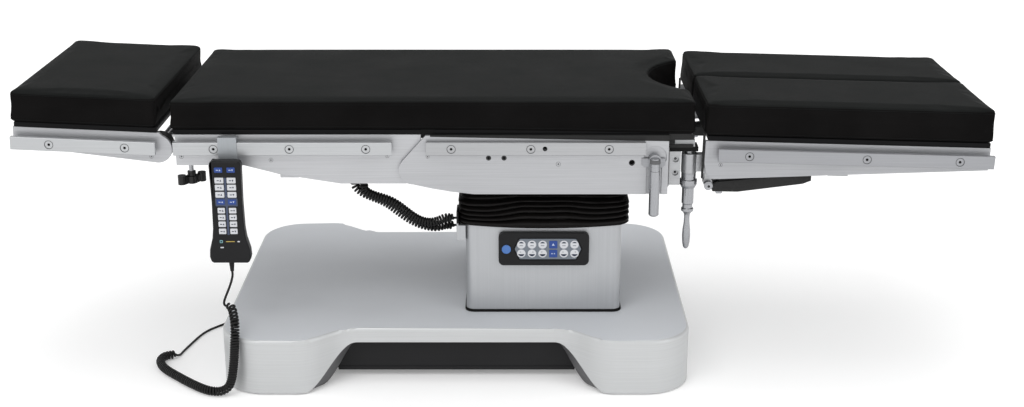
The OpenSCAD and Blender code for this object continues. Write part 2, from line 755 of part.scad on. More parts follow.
nose_x = hinge_x - 32;
nose_z = board_z - 78;
nose_r = 31;
seat_plate_h = 131;
module seat_plate() color([0.77, 0.78, 0.79]) {
    x1 = seat_x1 - 52;
    z1 = board_z - seat_plate_h;
    difference() {
        xz(seat_plate_y, plate_t) {
            polygon([[hinge_x - 4, board_z], [nose_x - 24, nose_z + 20], [nose_x, nose_z],
                [nose_x, nose_z - nose_r], [nose_x + 40, nose_z - nose_r - 9], [nose_x + 80,
                    nose_z - nose_r - 16],
                [nose_x + 130, z1], [x1, z1], [x1, board_z]]);
            translate([nose_x, nose_z]) circle(r = nose_r);
        }
        for (x = seat_bolts) cyl_y(x, rail_z, 200, 300, bolt_d / 2 + 0.1);
        // Round pocket and groove behind the lock lever
        cyl_y(lever_x + 2, lever_z + 4, seat_plate_y + plate_t - 3, 300, 24);
        box(lever_x - 16, lever_x + 16, seat_plate_y + plate_t - 3, 300, z1 - 1, lever_z);
        cyl_y(lever_x, lever_z, 200, 300, lever_pin_d / 2 + fit);
        // Plain round holes
        cyl_y(column_x + 4, rail_z + 1, 200, 300, 5);
        cyl_y(column_x + 190, board_z - 60, 200, 300, 5.5);
    }
}

module lock_lever(near) color([0.80, 0.81, 0.82]) side(near) {
    y0 = seat_plate_y + plate_t - 2.7;
    cyl_y(lever_x, lever_z, seat_plate_y, y0 + e, lever_pin_d / 2);
    cyl_y(lever_x, lever_z, y0, lever_y + 2, 13);
    translate([lever_x, lever_y + 2, lever_z]) {
        translate([0, 0, -24]) cylinder(h = 30, r = lever_r - 1);
        translate([0, 0, -120]) cylinder(h = 98, r = lever_r);
        translate([0, 0, -123]) cylinder(h = 3 + e, r1 = lever_r - 3, r2 = lever_r);
    }
}

// Accessory rails with their bolts and spacers
seat_bolts = [hinge_x + 51, hinge_x + 220, hinge_x + 386];
back_bolts = [hinge_x - 453, hinge_x - 292, hinge_x - 130];
head_bolts = [head_x1 - 228, head_x1 - 68];
leg_bolts = [leg_x0 + 94, leg_x0 + 344, leg_x0 + 542];

module bolt(x, z, plate_out) {
    // Countersunk head with a hexagon socket, shank and spacer
    y1 = rails_w / 2;
    difference() {
        translate([x, y1 - 4.6, z]) rotate([-90, 0, 0]) cylinder(h = 4, r1 = bolt_head_d / 2 - 3,
            r2 = bolt_head_d / 2);
        translate([x, y1 - 3, z]) rotate([-90, 0, 0]) cylinder(h = 6, r = 3.2, $fn = 6);
    }
    cyl_y(x, z, plate_out - plate_t, y1 - 4.6 + e, bolt_d / 2);
    difference() {
        cyl_y(x, z, plate_out, rail_y, bolt_d / 2 + 4);
        cyl_y(x, z, plate_out - 1, rail_y + 1, bolt_d / 2 + 0.1);
    }
}

module rail(x0, x1, plate_out, bolts) {
    c = 1;
    z0 = rail_z - rail_h / 2;
    difference() {
        translate([x0, rail_y, z0]) rotate([90, 0, 90]) linear_extrude(x1 - x0)
            polygon([[0, 0], [rail_t - c, 0], [rail_t, c], [rail_t, rail_h - c], [rail_t - c,
                rail_h], [0, rail_h]]);
        for (x = bolts) {
            cyl_y(x, rail_z, rail_y - 1, rail_y + rail_t + 1, bolt_d / 2 + 0.1);
            translate([x, rails_w / 2 - 4.6, rail_z]) rotate([-90, 0, 0])
                cylinder(h = 4.6 + e, r1 = bolt_head_d / 2 - 2.9, r2 = bolt_head_d / 2 + 0.55);
        }
    }
    for (x = bolts) bolt(x, rail_z, plate_out);
}

module seat_rails() color([0.80, 0.81, 0.82]) both() difference() {
    rail(hinge_x - 3, seat_x1 - 102, seat_plate_y + plate_t, seat_bolts);
    cyl_y(column_x + 4, rail_z + 1, rail_y - 1, rails_w / 2 + 1, 5);
}

// Leg mounts: a clamp block and a cap under the end beam, and the swivel's pin
module leg_mounts() color([0.70, 0.71, 0.72]) both() {
    z1 = board_z - 31;
    difference() {
        union() {
            box(seat_x1 - 48, seat_x1 - 23, swivel_y - 16, swivel_y + 16, leg_hz - 62, z1 - 11 + e);
            box(seat_x1 - 48, seat_x1 + 14, swivel_y - 18, swivel_y + 18, z1 - 11, z1);
        }
        for (z = [leg_hz - 4, leg_hz - 34]) {
            cyl_y(seat_x1 - 34, z, swivel_y + 10, swivel_y + 20, 6.5);
            cyl_y(seat_x1 - 34, z, swivel_y - 20, swivel_y + 20, 3);
        }
        cyl_z(swivel_x, swivel_y, z1 - 30, z1 + 10, swivel_pin_d / 2);
    }
    cyl_z(swivel_x, swivel_y, leg_hz - 52, z1, swivel_pin_d / 2);
}

// Leg swivel: a sleeve on the pin, an arm to the leg's hinge and a tail to the strut
sleeve_z0 = leg_hz - 37;
sleeve_z1 = board_z - 31 - 11 - 0.3 - 7;
lug_y = swivel_y;
lug_w = 20;
module leg_swivel(near) color([0.66, 0.67, 0.69]) side(near) difference() {
    union() {
        cyl_z(swivel_x, swivel_y, sleeve_z0, sleeve_z1, swivel_r);
        box(swivel_x, leg_hx, lug_y - lug_w / 2, lug_y + lug_w / 2, leg_hz - 13, leg_hz + 5);
        cyl_y(leg_hx, leg_hz, lug_y - lug_w / 2, lug_y + lug_w / 2, 13);
        // Tail, a fork round the strut's eye
        difference() {
            union() {
                box(strut_x0 - 8, strut_x0 + 8, lug_y - lug_w / 2, lug_y + lug_w / 2, strut_z0, leg_hz);
                cyl_y(strut_x0, strut_z0, lug_y - lug_w / 2, lug_y + lug_w / 2, 10);
            }
            box(strut_x0 - 30, strut_x0 + 30, lug_y - 5.3, lug_y + 5.3, strut_z0 - 20, strut_z0 + 16);
        }
        cyl_y(strut_x0, strut_z0, lug_y - lug_w / 2 - 1, lug_y + lug_w / 2 + 1, strut_pin_d / 2);
    }
    cyl_z(swivel_x, swivel_y, sleeve_z0 - 1, sleeve_z1 + 1, swivel_pin_d / 2 + fit);
    cyl_y(leg_hx, leg_hz, 0, 400, leg_pin_d / 2 + fit);
}

// Clamp handle under the swivel: hexagon nut, shank, ring and a drop-shaped grip
module clamp_handle(near) color([0.74, 0.75, 0.76]) side(near) {
    z = sleeve_z0 - 0.3;
    translate([swivel_x, swivel_y, z]) difference() {
        rotate_extrude() polygon([[0, 0], [swivel_r - 1, 0], [swivel_r - 1, -14], [swivel_r + 2, -16],
            [swivel_r + 2, -26], [swivel_r - 2, -34], [13, -34], [13, -70], [11, -72], [11, -80],
            [13.5, -82], [13.5, -88], [10, -90], [6.5, -96], [6, -104], [6.5, -116], [8.5, -132],
            [9, -146], [8, -162], [6, -172], [3, -176], [0, -177]]);
        translate([0, 0, -17]) cylinder(h = 20, r = swivel_pin_d / 2 + fit);
    }
}

// Back section

module back_frame() color([0.60, 0.62, 0.64]) {
    px = back_x0 + 28;
    difference() {
        union() {
            for (x = [back_x0 + 60, back_x0 + 280, hinge_x - 58])
                box(x, x + 30, -plate_y, plate_y, board_z - 20, board_z);
            both() {
                cyl_x(swivel_y + 3, hub_z, back_x0 + 4, back_x0 + 130, prong_d / 2 + 8);
                box(back_x0 + 50, back_x0 + 100, swivel_y - 10, swivel_y + 16, hub_z, board_z);
                cyl_z(px, swivel_y + 3, hub_z - 38, hub_z, 14);
                // Knuckle between the seat's two
                cyl_y(hinge_x, hinge_z, beam_y + 4 + lug_gap, beam_y + beam_t - 4 - lug_gap, knuckle_r);
                box(hinge_x - 40, hinge_x, beam_y + 4 + lug_gap, beam_y + beam_t - 4 - lug_gap,
                    hinge_z - knuckle_r, board_z);
            }
        }
        both() {
            cyl_x(swivel_y + 3, hub_z, back_x0 - 10, back_x0 + 140, prong_d / 2 + fit);
            cyl_z(px, swivel_y + 3, hub_z - 40, hub_z, 5 + fit);
            cyl_y(hinge_x, hinge_z, 0, 300, hinge_pin_d / 2 + fit);
        }
    }
}

module back_profile() {
    x1 = hinge_x - 14;
    z = board_z;
    difference() {
        union() {
            polygon([[back_x0 + 3, z], [back_x0 + 3, z - 69], [back_x0 + 148, z - 69], [back_x0 +
                223, z - 89],
                [back_x0 + 272, z - 97], [back_x0 + 353, z - 110], [x1 - 35, z - 110], [x1 - 35,
                    z - 75], [x1, z - 75], [x1, z]]);
            translate([x1 - 35, z - 75]) circle(r = 35);
        }
    }
}

module back_plates() color([0.77, 0.78, 0.79]) both() difference() {
    union() {
        xz(plate_y, plate_t) back_profile();
        // Latch block that shows under the plate's slope
        box(back_x0 + 223, back_x0 + 263, plate_y - 14, plate_y + e, board_z - 99, board_z - 68);
    }
    for (x = back_bolts) cyl_y(x, rail_z, 200, 300, bolt_d / 2 + 0.1);
}

module back_board() color([0.10, 0.10, 0.11])
    box(back_x0, hinge_x - 12, -board_w / 2, board_w / 2, board_z, pad_z);

module back_pad() color([0.07, 0.07, 0.08])
    pad(back_x0, hinge_x - 1, -pad_w / 2, pad_w / 2, pad_z, 6, 6, lean1 = tan(fold_deg));

module back_rails() color([0.80, 0.81, 0.82])
    both() rail(back_x0 + 3, hinge_x - 75, plate_y + plate_t, back_bolts);

// Wing screw that clamps a prong from below
module head_knob(near) color([0.06, 0.06, 0.06]) side(near) {
    x = back_x0 + 28;
    y = swivel_y + 3;
    z = hub_z - 38;
    cyl_z(x, y, z - 20, hub_z - prong_d / 2 - 0.3, 5);
    cyl_z(x, y, z - 36, z - 20, 9);
    difference() {
        union() {
            box(x - 26, x + 26, y - 6, y + 6, z - 46, z - 30);
            for (i = [-1, 1]) cyl_z(x + i * 23, y, z - 46, z - 26, 9);
            cyl_z(x, y, z - 46, z - 30, 12);
        }
        for (i = [-1, 1]) cyl_z(x + i * 23, y, z - 47, z - 43, 4);
    }
}

// Head section

module head_prongs() color([0.68, 0.69, 0.71]) {
    y = swivel_y + 3;
    difference() {
        union() {
            both() {
                cyl_x(y, hub_z, hub_x, back_x0 + 126, prong_d / 2);
                cyl_y(hub_x, hub_z, y - 16, plate_y - 0.3, 24);
            }
            cyl_y(hub_x, hub_z, -y, y, 12);
        }
        cyl_y(hub_x, hub_z, -300, 300, hub_pin_d / 2 + fit);
    }
}

module head_plates() color([0.77, 0.78, 0.79]) head_pose() {
    z = board_z + head_lift;
    difference() {
        union() {
            both() xz(plate_y, plate_t) {
                polygon([[head_x0 - 6, z], [head_x0 - 6, board_z - 38], [hub_x - 8, hub_z - hub_r + 0.6],
                    [hub_x, hub_z], [hub_x + hub_r - 4, board_z - 20], [hub_x + 4, z]]);
                translate([hub_x, hub_z]) circle(r = hub_r);
            }
            for (x = [head_x0 + 40, head_x0 + 220]) box(x, x + 30, -plate_y, plate_y, z - 18, z);
        }
        both() for (x = head_bolts) cyl_y(x, rail_z, 200, 300, bolt_d / 2 + 0.1);
    }
    cyl_y(hub_x, hub_z, -plate_y - e, plate_y + e, hub_pin_d / 2);
}

module head_board() color([0.10, 0.10, 0.11]) head_pose()
    box(head_x0 - 3, head_x1 - 4, -board_w / 2, board_w / 2, board_z + head_lift, pad_z + head_lift);

module head_pad() color([0.07, 0.07, 0.08]) head_pose()
    pad(head_x0, head_x1 - 1, -pad_w / 2, pad_w / 2, pad_z + head_lift, 5, 6);

module head_rails() color([0.80, 0.81, 0.82]) head_pose()
    both() rail(head_x0 - 6, head_x1 - 4, plate_y + plate_t, head_bolts);

// Leg sections

module leg_plate(near) color([0.77, 0.78, 0.79]) side(near) leg_pose() {
    z = leg_board_z;
    difference() {
        union() {
            xz(plate_y, plate_t) {
                polygon([[leg_x0 + 2, z], [leg_x0 + 2, z - 50], [leg_x0 + 6, z - 70], [leg_x0 + 16,
                    z - 84],
                    [leg_x0 + 24, z - 86], [leg_x0 + 280, z - 70], [leg_x1 + 4, z - 50], [leg_x1 + 4,
                        z]]);
            }
            for (x = [leg_x0 + 60, leg_x0 + 420]) box(x, x + 30, 20, plate_y + e, z - 16, z);
            box(leg_x0 + 40, leg_x1 - 60, 20, 34, z - 20, z);
            // Cheeks of the hinge, under a cross bar
            for (y = [lug_y - lug_w / 2 - 0.4 - 8, lug_y + lug_w / 2 + 0.4])
                xz(y, y > lug_y ? plate_y - y + e : 8) {
                    translate([leg_hx, leg_hz]) circle(r = 12);
                    polygon([[leg_hx - 6, leg_hz + 8], [leg_x0 + 60, z - 16], [leg_x0 + 60, z],
                        [leg_x0 + 90, z],
                        [leg_x0 + 90, z - 30], [leg_hx + 9, leg_hz - 9]]);
                }
            // Clevis for the strut, with slots
            for (y = [lug_y - 16, lug_y + 10]) difference() {
                xz(y, 6) polygon([[clevis_x - 28, z], [clevis_x - 22, clevis_z - 14], [clevis_x + 22,
                    clevis_z - 14], [clevis_x + 28, z]]);
                xz(y - 1, 8) translate([clevis_x, clevis_z]) {
                    square([20, 16], center = true);
                }
            }
            box(clevis_x - 28, clevis_x + 28, lug_y - 16, plate_y + e, z - 8, z);
        }
        for (x = leg_bolts) cyl_y(x, rail_z - leg_drop, 230, 300, bolt_d / 2 + 0.1);
    }
    cyl_y(leg_hx, leg_hz, lug_y - lug_w / 2 - 8, plate_y + e, leg_pin_d / 2);
}

module leg_board(near) color([0.10, 0.10, 0.11]) side(near) leg_pose()
    box(leg_x0 + 6, leg_x1 + 2, split_gap / 2 + 1, board_w / 2, leg_board_z, leg_pad_z);

module leg_pad(near) color([0.07, 0.07, 0.08]) side(near) leg_pose()
    pad(leg_x0, leg_x1, split_gap / 2, pad_w / 2, leg_pad_z, 6, 4, h = leg_pad_t);

module leg_rail(near) color([0.80, 0.81, 0.82]) side(near) leg_pose()
    translate([0, 0, -leg_drop]) rail(leg_x0 + 28, leg_x1 + 8, plate_y + plate_t, leg_bolts);

module strut_pose() {
    translate([strut_x0, lug_y, strut_z0]) rotate([0, -strut_deg, 0]) children();
}

// Gas strut: barrel with its eye on the swivel's tail
module strut_barrel(near) color([0.07, 0.07, 0.08]) side(near) strut_pose() {
    difference() {
        union() {
            translate([0, -5, 0]) rotate([-90, 0, 0]) cylinder(h = 10, r = 10);
            translate([0, -5, -5]) cube([26, 10, 10]);
            translate([24, 0, 0]) rotate([0, 90, 0]) cylinder(h = 160, r = 11);
        }
        translate([0, -10, 0]) rotate([-90, 0, 0]) cylinder(h = 20, r = strut_pin_d / 2 + fit);
        translate([40, 0, 0]) rotate([0, 90, 0]) cylinder(h = 160, r = 4 + fit);
    }
}

// Its rod, whose cross pin plays in the leg's slotted clevis
module strut_rod(near) color([0.75, 0.76, 0.78]) side(near) leg_rod();
module leg_rod() strut_pose() {
    translate([100, 0, 0]) rotate([0, 90, 0]) cylinder(h = strut_len - 100 - 6, r = 4);
    translate([strut_len, -7, 0]) rotate([-90, 0, 0]) cylinder(h = 14, r = 8);
    translate([strut_len, -19, 0]) rotate([-90, 0, 0]) cylinder(h = 38, r = 3);
}

// Hand control, held by the magnet of a clip that hooks over the near back rail
handset_x = back_x0 + 118;
handset_y = -rails_w / 2 - 14;
handset_top = rail_z - rail_h / 2 - 1;
handset_t = 26;
clip_t = 2.5;
clip_w = 40;
// Its magnet sits level with the tilt axis, so that it swings clear of the hand control
magnet_h = 12;
magnet_gap = 0.3;
module rail_clip() color([0.86, 0.87, 0.87]) {
    x = handset_x - 19;
    y1 = -rails_w / 2;
    rail_top = rail_z + rail_h / 2;
    box(x, x + clip_w, y1 - clip_t, y1, cross_z - magnet_h / 2 - 2, rail_top + 12);
    box(x, x + clip_w, y1 - clip_t, -rail_y + clip_t, rail_top, rail_top + 12);
    box(x, x + clip_w, -rail_y, -rail_y + clip_t, rail_z - 2, rail_top + 12);
    box(x + 3, x + clip_w - 3, handset_y + magnet_gap, y1 - clip_t + e, cross_z - magnet_h / 2,
        cross_z + magnet_h / 2);
}

module handset() color([0.09, 0.10, 0.11]) {
    z0 = handset_top - handset_l;
    x = handset_x;
    // Shell: wide head, waist and flared foot
    translate([x, handset_y, 0]) rotate([90, 0, 0]) linear_extrude(handset_t) polygon([
        [-30, handset_top - 2], [-27, handset_top], [27, handset_top], [33, handset_top - 3],
        [34, handset_top - 10], [32.5, handset_top - 90], [33.5, handset_top - 150],
        [36, handset_top - 172], [43, handset_top - 198], [44, z0 + 14], [41, z0 + 2], [36, z0],
        [-36, z0], [-41, z0 + 2], [-44, z0 + 14], [-43, handset_top - 198],
        [-36, handset_top - 172], [-33.5, handset_top - 150], [-32.5, handset_top - 90],
        [-34, handset_top - 10]]);
    // Strain relief
    translate([x, handset_y - handset_t / 2, z0 - 22]) cylinder(h = 22 + e, r1 = cord_d / 2 + 1.2,
        r2 = 6);
}

// Rows of its keys, measured down from its top, the upper five wider than the lower four
key_rows = [18, 41, 56.5, 72.5, 88.5, 108, 123, 138.5, 154.5];
key_w = [18, 18, 18, 18, 18, 15.4, 15.4, 15.4, 15.4];
key_h = 12;
key_x = 12.6;
module handset_keys() color([0.85, 0.87, 0.88]) {
    for (i = [0 : len(key_rows) - 1], s = [-1, 1])
        translate([handset_x + s * key_x, handset_y - handset_t, handset_top - key_rows[i]])
            rotate([90, 0, 0]) linear_extrude(1.6) round_rect(key_w[i], key_h, 2);
}

// Free cords, with round numbers for their points
// Lead out of the hand control's strain relief
lead_route = [[-582, -297, 256.7], [-582, -297, 246], [-586, -298, 232], [-590, -300, 217],
    [-595, -303.5, 203], [-597, -309, 190]];
// Curly part, down past the base's corner and in a loop on the floor
coil_route = [[-597, -309, 190], [-587, -321, 177], [-578, -339, 169], [-572, -356, 158],
    [-570.5, -368, 141], [-571.5, -374, 121], [-573, -375.5, 100], [-575, -377, 79],
    [-578, -378.5, 58], [-582, -380, 38], [-590, -382, 20.5], [-606, -384, 11.5],
    [-627, -380, 10.5], [-646, -369, 10.5], [-664, -355, 10.5], [-681, -340, 10.5],
    [-697, -325, 10.5], [-713, -309, 10.5], [-729, -293, 10.5], [-744, -277, 10.5],
    [-757, -260, 10.5], [-767, -241, 10.5], [-772, -220, 10.5], [-769, -201, 10.5],
    [-755, -190, 10.5]];
// Lead along the floor to the gland in the base's end
tail_route = [[-755, -190, 10.5], [-745, -181, 8.5], [-738, -167, 4.5], [-731, -147, 2.8],
    [-725, -120, 2.8], [-718, -92, 2.8], [-709, -66, 2.8], [-697, -42, 2.8], [-682, -20, 2.8],
    [-667, -4, 5], [-656, 4, 13], [-648, 8.5, 26], [-640, 10, 36.5], [-632.5, 10, 40],
    [-627.1, 10, 40]];
// The back section's two cords, from its junction box to the entry beside the bellows
back_route_1 = [[-301, -200, 427.5], [-301, -200, 410], [-285, -200, 398.5],
    [-264, -200, 391.5], [-244.5, -200, 384], [-228, -200, 373.5], [-212.5, -200, 361],
    [-197.5, -200, 349], [-181, -200, 339], [-162, -200, 334], [-143, -200, 336.5],
    [-124.5, -200, 344], [-105.5, -200, 344]];
back_route_2 = [[-323, -174, 427.5], [-323, -174, 409.5], [-308.5, -174, 394.5],
    [-288.5, -174, 384.5], [-269, -174, 376.5], [-251, -174, 366.5], [-235, -174, 354],
    [-219, -174, 341.5], [-202.5, -174, 330], [-184.5, -174, 321], [-165, -174, 315],
    [-145, -174, 313.5], [-125, -174, 318], [-105.5, -174, 318]];

// Junction box on the near back plate, where the back section's cords leave
module junction_box() color([0.06, 0.06, 0.06]) {
    z0 = 433;
    box(hinge_x - 184, hinge_x - 128, -plate_y, -beam_y - 8, z0 + 4, z0 + 44);
    box(hinge_x - 180, hinge_x - 132, -plate_y + 8, -beam_y - 12, z0, z0 + 4 + e);
}

// Gland in the base's head end, and a bracket on the column cover's end that takes in the
// back section's cords beside the bellows
module cord_entries() color([0.05, 0.05, 0.05]) {
    x = cover_end;
    z = column_top - 40;
    translate([gland_x, gland_y, gland_z]) rotate([0, -90, 0]) {
        cylinder(h = 6, r = 9, $fn = 6);
        translate([0, 0, 6 - e]) cylinder(h = 8.5, r1 = 7, r2 = cord_d / 2 + 0.6);
    }
    box(x - 20, x, -212, -162, z, z + 34);
    box(x - 20, x - 16, -212, -162, z, z + 66);
}

module handset_lead() color([0.03, 0.03, 0.03]) free_cord(lead_route, [1, 0.1, 0]);
module handset_coil() color([0.03, 0.03, 0.03]) curly(coil_route, 36, [0.3, 1, 0.3]);
module handset_tail() color([0.03, 0.03, 0.03]) free_cord(tail_route, [0.1, 0.2, 1]);
module back_cord_1() color([0.03, 0.03, 0.03]) curly(back_route_1, 13, [0, 1, 0.1]);
module back_cord_2() color([0.03, 0.03, 0.03]) curly(back_route_2, 13, [0, 1, 0.1]);

echo(least_gap_handset_coil = least_gap(curly_centres(coil_route, 36, [0.3, 1, 0.3])));
echo(least_gap_back_cord_1 = least_gap(curly_centres(back_route_1, 13, [0, 1, 0.1])));
echo(least_gap_back_cord_2 = least_gap(curly_centres(back_route_2, 13, [0, 1, 0.1])));

base_cover();
chassis();
floor_feet();
power_pack();
outer_mast();
column_cover();
panel_frame();
panel_foil();
power_button();
bellows();
middle_mast();
inner_mast();
tilt_cross();
seat_frame();
seat_board();
seat_pad();
pad_fold();
both() seat_plate();  // seat_plates
seat_rails();
leg_mounts();
lock_lever(true);  // lock_lever_near
lock_lever(false);  // lock_lever_far
back_frame();
back_plates();
back_board();
back_pad();
back_rails();
head_knob(true);  // head_knob_near
head_knob(false);  // head_knob_far
head_prongs();
head_plates();
head_board();
head_pad();
head_rails();
leg_swivel(true);  // leg_swivel_near
leg_swivel(false);  // leg_swivel_far
clamp_handle(true);  // clamp_handle_near
clamp_handle(false);  // clamp_handle_far
leg_plate(true);  // leg_plate_near
leg_plate(false);  // leg_plate_far
leg_board(true);  // leg_board_near
leg_board(false);  // leg_board_far
leg_pad(true);  // leg_pad_near
leg_pad(false);  // leg_pad_far
leg_rail(true);  // leg_rail_near
leg_rail(false);  // leg_rail_far
strut_barrel(true);  // strut_barrel_near
strut_barrel(false);  // strut_barrel_far
strut_rod(true);  // strut_rod_near
strut_rod(false);  // strut_rod_far
rail_clip();
junction_box();
handset();
handset_keys();
cord_entries();
handset_lead();
handset_coil();
handset_tail();
back_cord_1();
back_cord_2();
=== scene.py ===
import math

import bmesh
import bpy
from mathutils import Matrix, Vector, kdtree
from mathutils.bvhtree import BVHTree


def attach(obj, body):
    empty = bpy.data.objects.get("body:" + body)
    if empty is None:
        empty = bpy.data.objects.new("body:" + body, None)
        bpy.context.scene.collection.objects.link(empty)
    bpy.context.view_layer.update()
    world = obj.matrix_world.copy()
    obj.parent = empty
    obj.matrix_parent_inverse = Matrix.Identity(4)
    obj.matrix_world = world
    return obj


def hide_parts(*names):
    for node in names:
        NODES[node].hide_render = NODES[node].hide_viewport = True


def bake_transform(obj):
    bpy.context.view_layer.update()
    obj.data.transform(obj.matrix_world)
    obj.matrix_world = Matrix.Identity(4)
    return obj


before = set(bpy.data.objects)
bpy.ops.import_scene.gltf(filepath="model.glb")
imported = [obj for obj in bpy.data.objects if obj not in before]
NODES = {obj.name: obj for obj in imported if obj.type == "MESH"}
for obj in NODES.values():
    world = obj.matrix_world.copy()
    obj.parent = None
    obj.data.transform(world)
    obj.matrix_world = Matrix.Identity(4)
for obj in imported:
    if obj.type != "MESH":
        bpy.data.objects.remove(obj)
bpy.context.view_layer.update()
scene = bpy.context.scene


# Camera

LENS_MM = 51.55
CAMERA_AT = (0.022, -3.247, 1.415)
CAMERA_TILT = 71.19


def make_camera():
    data = bpy.data.cameras.new("camera")
    data.lens = LENS_MM
    data.sensor_width = 36
    cam = bpy.data.objects.new("camera", data)
    cam.location = CAMERA_AT
    cam.rotation_euler = (math.radians(CAMERA_TILT), 0, 0)
    scene.collection.objects.link(cam)
    scene.camera = cam


make_camera()


# Mesh helpers

def new_object(name, mesh, *materials):
    obj = bpy.data.objects.new(name, mesh)
    scene.collection.objects.link(obj)
    for m in materials:
        mesh.materials.append(m)
    return obj


def circle_points(cx, cz, r, n=28):
    turns = [2 * math.pi * k / n for k in range(n)]
    return [(cx + r * math.cos(a), cz + r * math.sin(a)) for a in turns]


def wall_circle(cx, cz, y, r, n=28):
    return [(x, y, z) for x, z in circle_points(cx, cz, r, n)]


def rounded_rect(x0, x1, y0, y1, r, steps, out=0.0):
    """A rectangle with round corners, counter-clockwise, each corner grown by out."""
    corners = ((x1 - r, y0 + r, -90), (x1 - r, y1 - r, 0), (x0 + r, y1 - r, 90), (x0 + r, y0 + r, 180))
    points = []
    for cx, cy, start in corners:
        for k in range(steps + 1):
            a = math.radians(start + 90 * k / steps)
            points.append((cx + (r + out) * math.cos(a), cy + (r + out) * math.sin(a)))
    return points


class Shape:
    """Pieces of one material that become one mesh."""

    def __init__(self):
        self.points, self.faces = [], []

    def loft(self, loops, first=True, last=True, closed=False):
        """Walls from loop to loop, with caps on the first and on the last."""
        base, n, rows = len(self.points), len(loops[0]), len(loops)
        for loop in loops:
            self.points += loop
        for j in range(rows if closed else rows - 1):
            a, b = base + j * n, base + (j + 1) % rows * n
            for k in range(n):
                k1 = (k + 1) % n
                self.faces.append((a + k, a + k1, b + k1, b + k))
        if first:
            self.faces.append(tuple(base + k for k in reversed(range(n))))
        if last:
            self.faces.append(tuple(base + (rows - 1) * n + k for k in range(n)))
        return self

    def slab(self, outline, y0, y1, round_by=0.0003):
        """A flat raised piece on a wall that faces -Y; outline is (x, z) points."""
        cx = sum(p[0] for p in outline) / len(outline)
        cz = sum(p[1] for p in outline) / len(outline)
        loops = []
        for shrink, y in ((0, y0), (0, y1 + round_by), (round_by, y1)):
            loop = []
            for x, z in outline:
                k = 1 - shrink / (math.hypot(x - cx, z - cz) or 1)
                loop.append((cx + (x - cx) * k, y, cz + (z - cz) * k))
            loops.append(loop)
        self.loft(loops, first=False)

    def round_key(self, cx, cz, y0, y1, r0, r1):
        """A round key on a wall that faces -Y, from y0 out to y1."""
        rows = [(r0, y0), (r0, y1 + 0.0004), (r1, y1), (r1 * 0.6, y1), (r1 * 0.2, y1)]
        self.loft([wall_circle(cx, cz, y, r, 40) for r, y in rows], first=False)

    def ring(self, cx, cz, y, r0, r1):
        """A flat ring on a wall that faces -Y."""
        self.loft([wall_circle(cx, cz, y, r) for r in (r1, r0)], first=False, last=False)

    def disc(self, cx, cz, y, r, n=20):
        """A flat disc on a wall that faces -Y."""
        self.loft([wall_circle(cx, cz, y, r, n)], first=False)

    def mirrored(self):
        """The same pieces on the far side."""
        twin = Shape()
        twin.points = [(x, -y, z) for x, y, z in self.points]
        twin.faces = [f[::-1] for f in self.faces]
        return twin

    def both_sides(self):
        """Adds the mirror image on the far side."""
        twin, n = self.mirrored(), len(self.points)
        self.points += twin.points
        self.faces += [tuple(i + n for i in f) for f in twin.faces]

    def mesh(self, name, mat, sharp=None):
        mesh = bpy.data.meshes.new(name)
        mesh.from_pydata([tuple(p) for p in self.points], [], self.faces)
        mesh.validate()
        mesh.update()
        mesh.shade_smooth()
        if sharp:
            mesh.set_sharp_from_angle(angle=math.radians(sharp))
        return new_object(name, mesh, M[mat])

    def make(self, name, mat, body, *nodes):
        """A rigid piece of the body, in place of the CAD nodes if any are named."""
        obj = self.mesh(name, mat, 35)
        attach(obj, body)
        if nodes:
            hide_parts(*nodes)


def apply_modifier(obj, mod):
    bpy.context.view_layer.objects.active = obj
    bpy.ops.object.modifier_apply(modifier=mod.name)


def weight_normals(obj):
    mod = obj.modifiers.new("weights", "WEIGHTED_NORMAL")
    mod.keep_sharp = True
    mod.weight = 90
    apply_modifier(obj, mod)


def cad_bmesh(node):
    """The node's faces as plain polygons, welded, with flat areas made whole."""
    src = NODES[node].data
    bm = bmesh.new()
    vs = [bm.verts.new(v.co) for v in src.vertices]
    for p in src.polygons:
        try:
            bm.faces.new([vs[i] for i in p.vertices])
        except ValueError:
            pass
    bmesh.ops.remove_doubles(bm, verts=bm.verts[:], dist=4e-5)
    bmesh.ops.dissolve_degenerate(bm, dist=1e-5, edges=bm.edges[:])
    bmesh.ops.dissolve_limit(
        bm, angle_limit=math.radians(0.4), use_dissolve_boundaries=False,
        verts=bm.verts[:], edges=bm.edges[:])
    bmesh.ops.recalc_face_normals(bm, faces=bm.faces[:])
    return bm


def softened(node, width, materials, body, angle=28, segments=2, pick=None, reshape=None):
    """A copy of a CAD node's shape with its sharp edges rounded by width, in metres."""
    bm = cad_bmesh(node)
    edges = [
        e for e in bm.edges
        if len(e.link_faces) == 2
        and e.calc_face_angle(0) > math.radians(angle)
        and e.calc_length() > width * 0.8
        and (pick is None or pick(e))
    ]
    if edges:
        bmesh.ops.bevel(
            bm, geom=edges, offset=width, offset_type="OFFSET", segments=segments,
            profile=0.5, affect="EDGES", clamp_overlap=False, miter_outer="ARC")
    if reshape:
        reshape(bm)
    mesh = bpy.data.meshes.new(node)
    bm.to_mesh(mesh)
    bm.free()
    mesh.shade_smooth()
    mesh.set_sharp_from_angle(angle=math.radians(40))
    obj = new_object(node + "_shape", mesh, *[M[key] for key in materials.split()])
    weight_normals(obj)
    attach(obj, body)
    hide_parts(node)
    return obj


def recolour(obj, index, chosen):
    """Gives the chosen faces another of the object's materials."""
    for p in obj.data.polygons:
        if chosen(p):
            p.material_index = index


# Materials

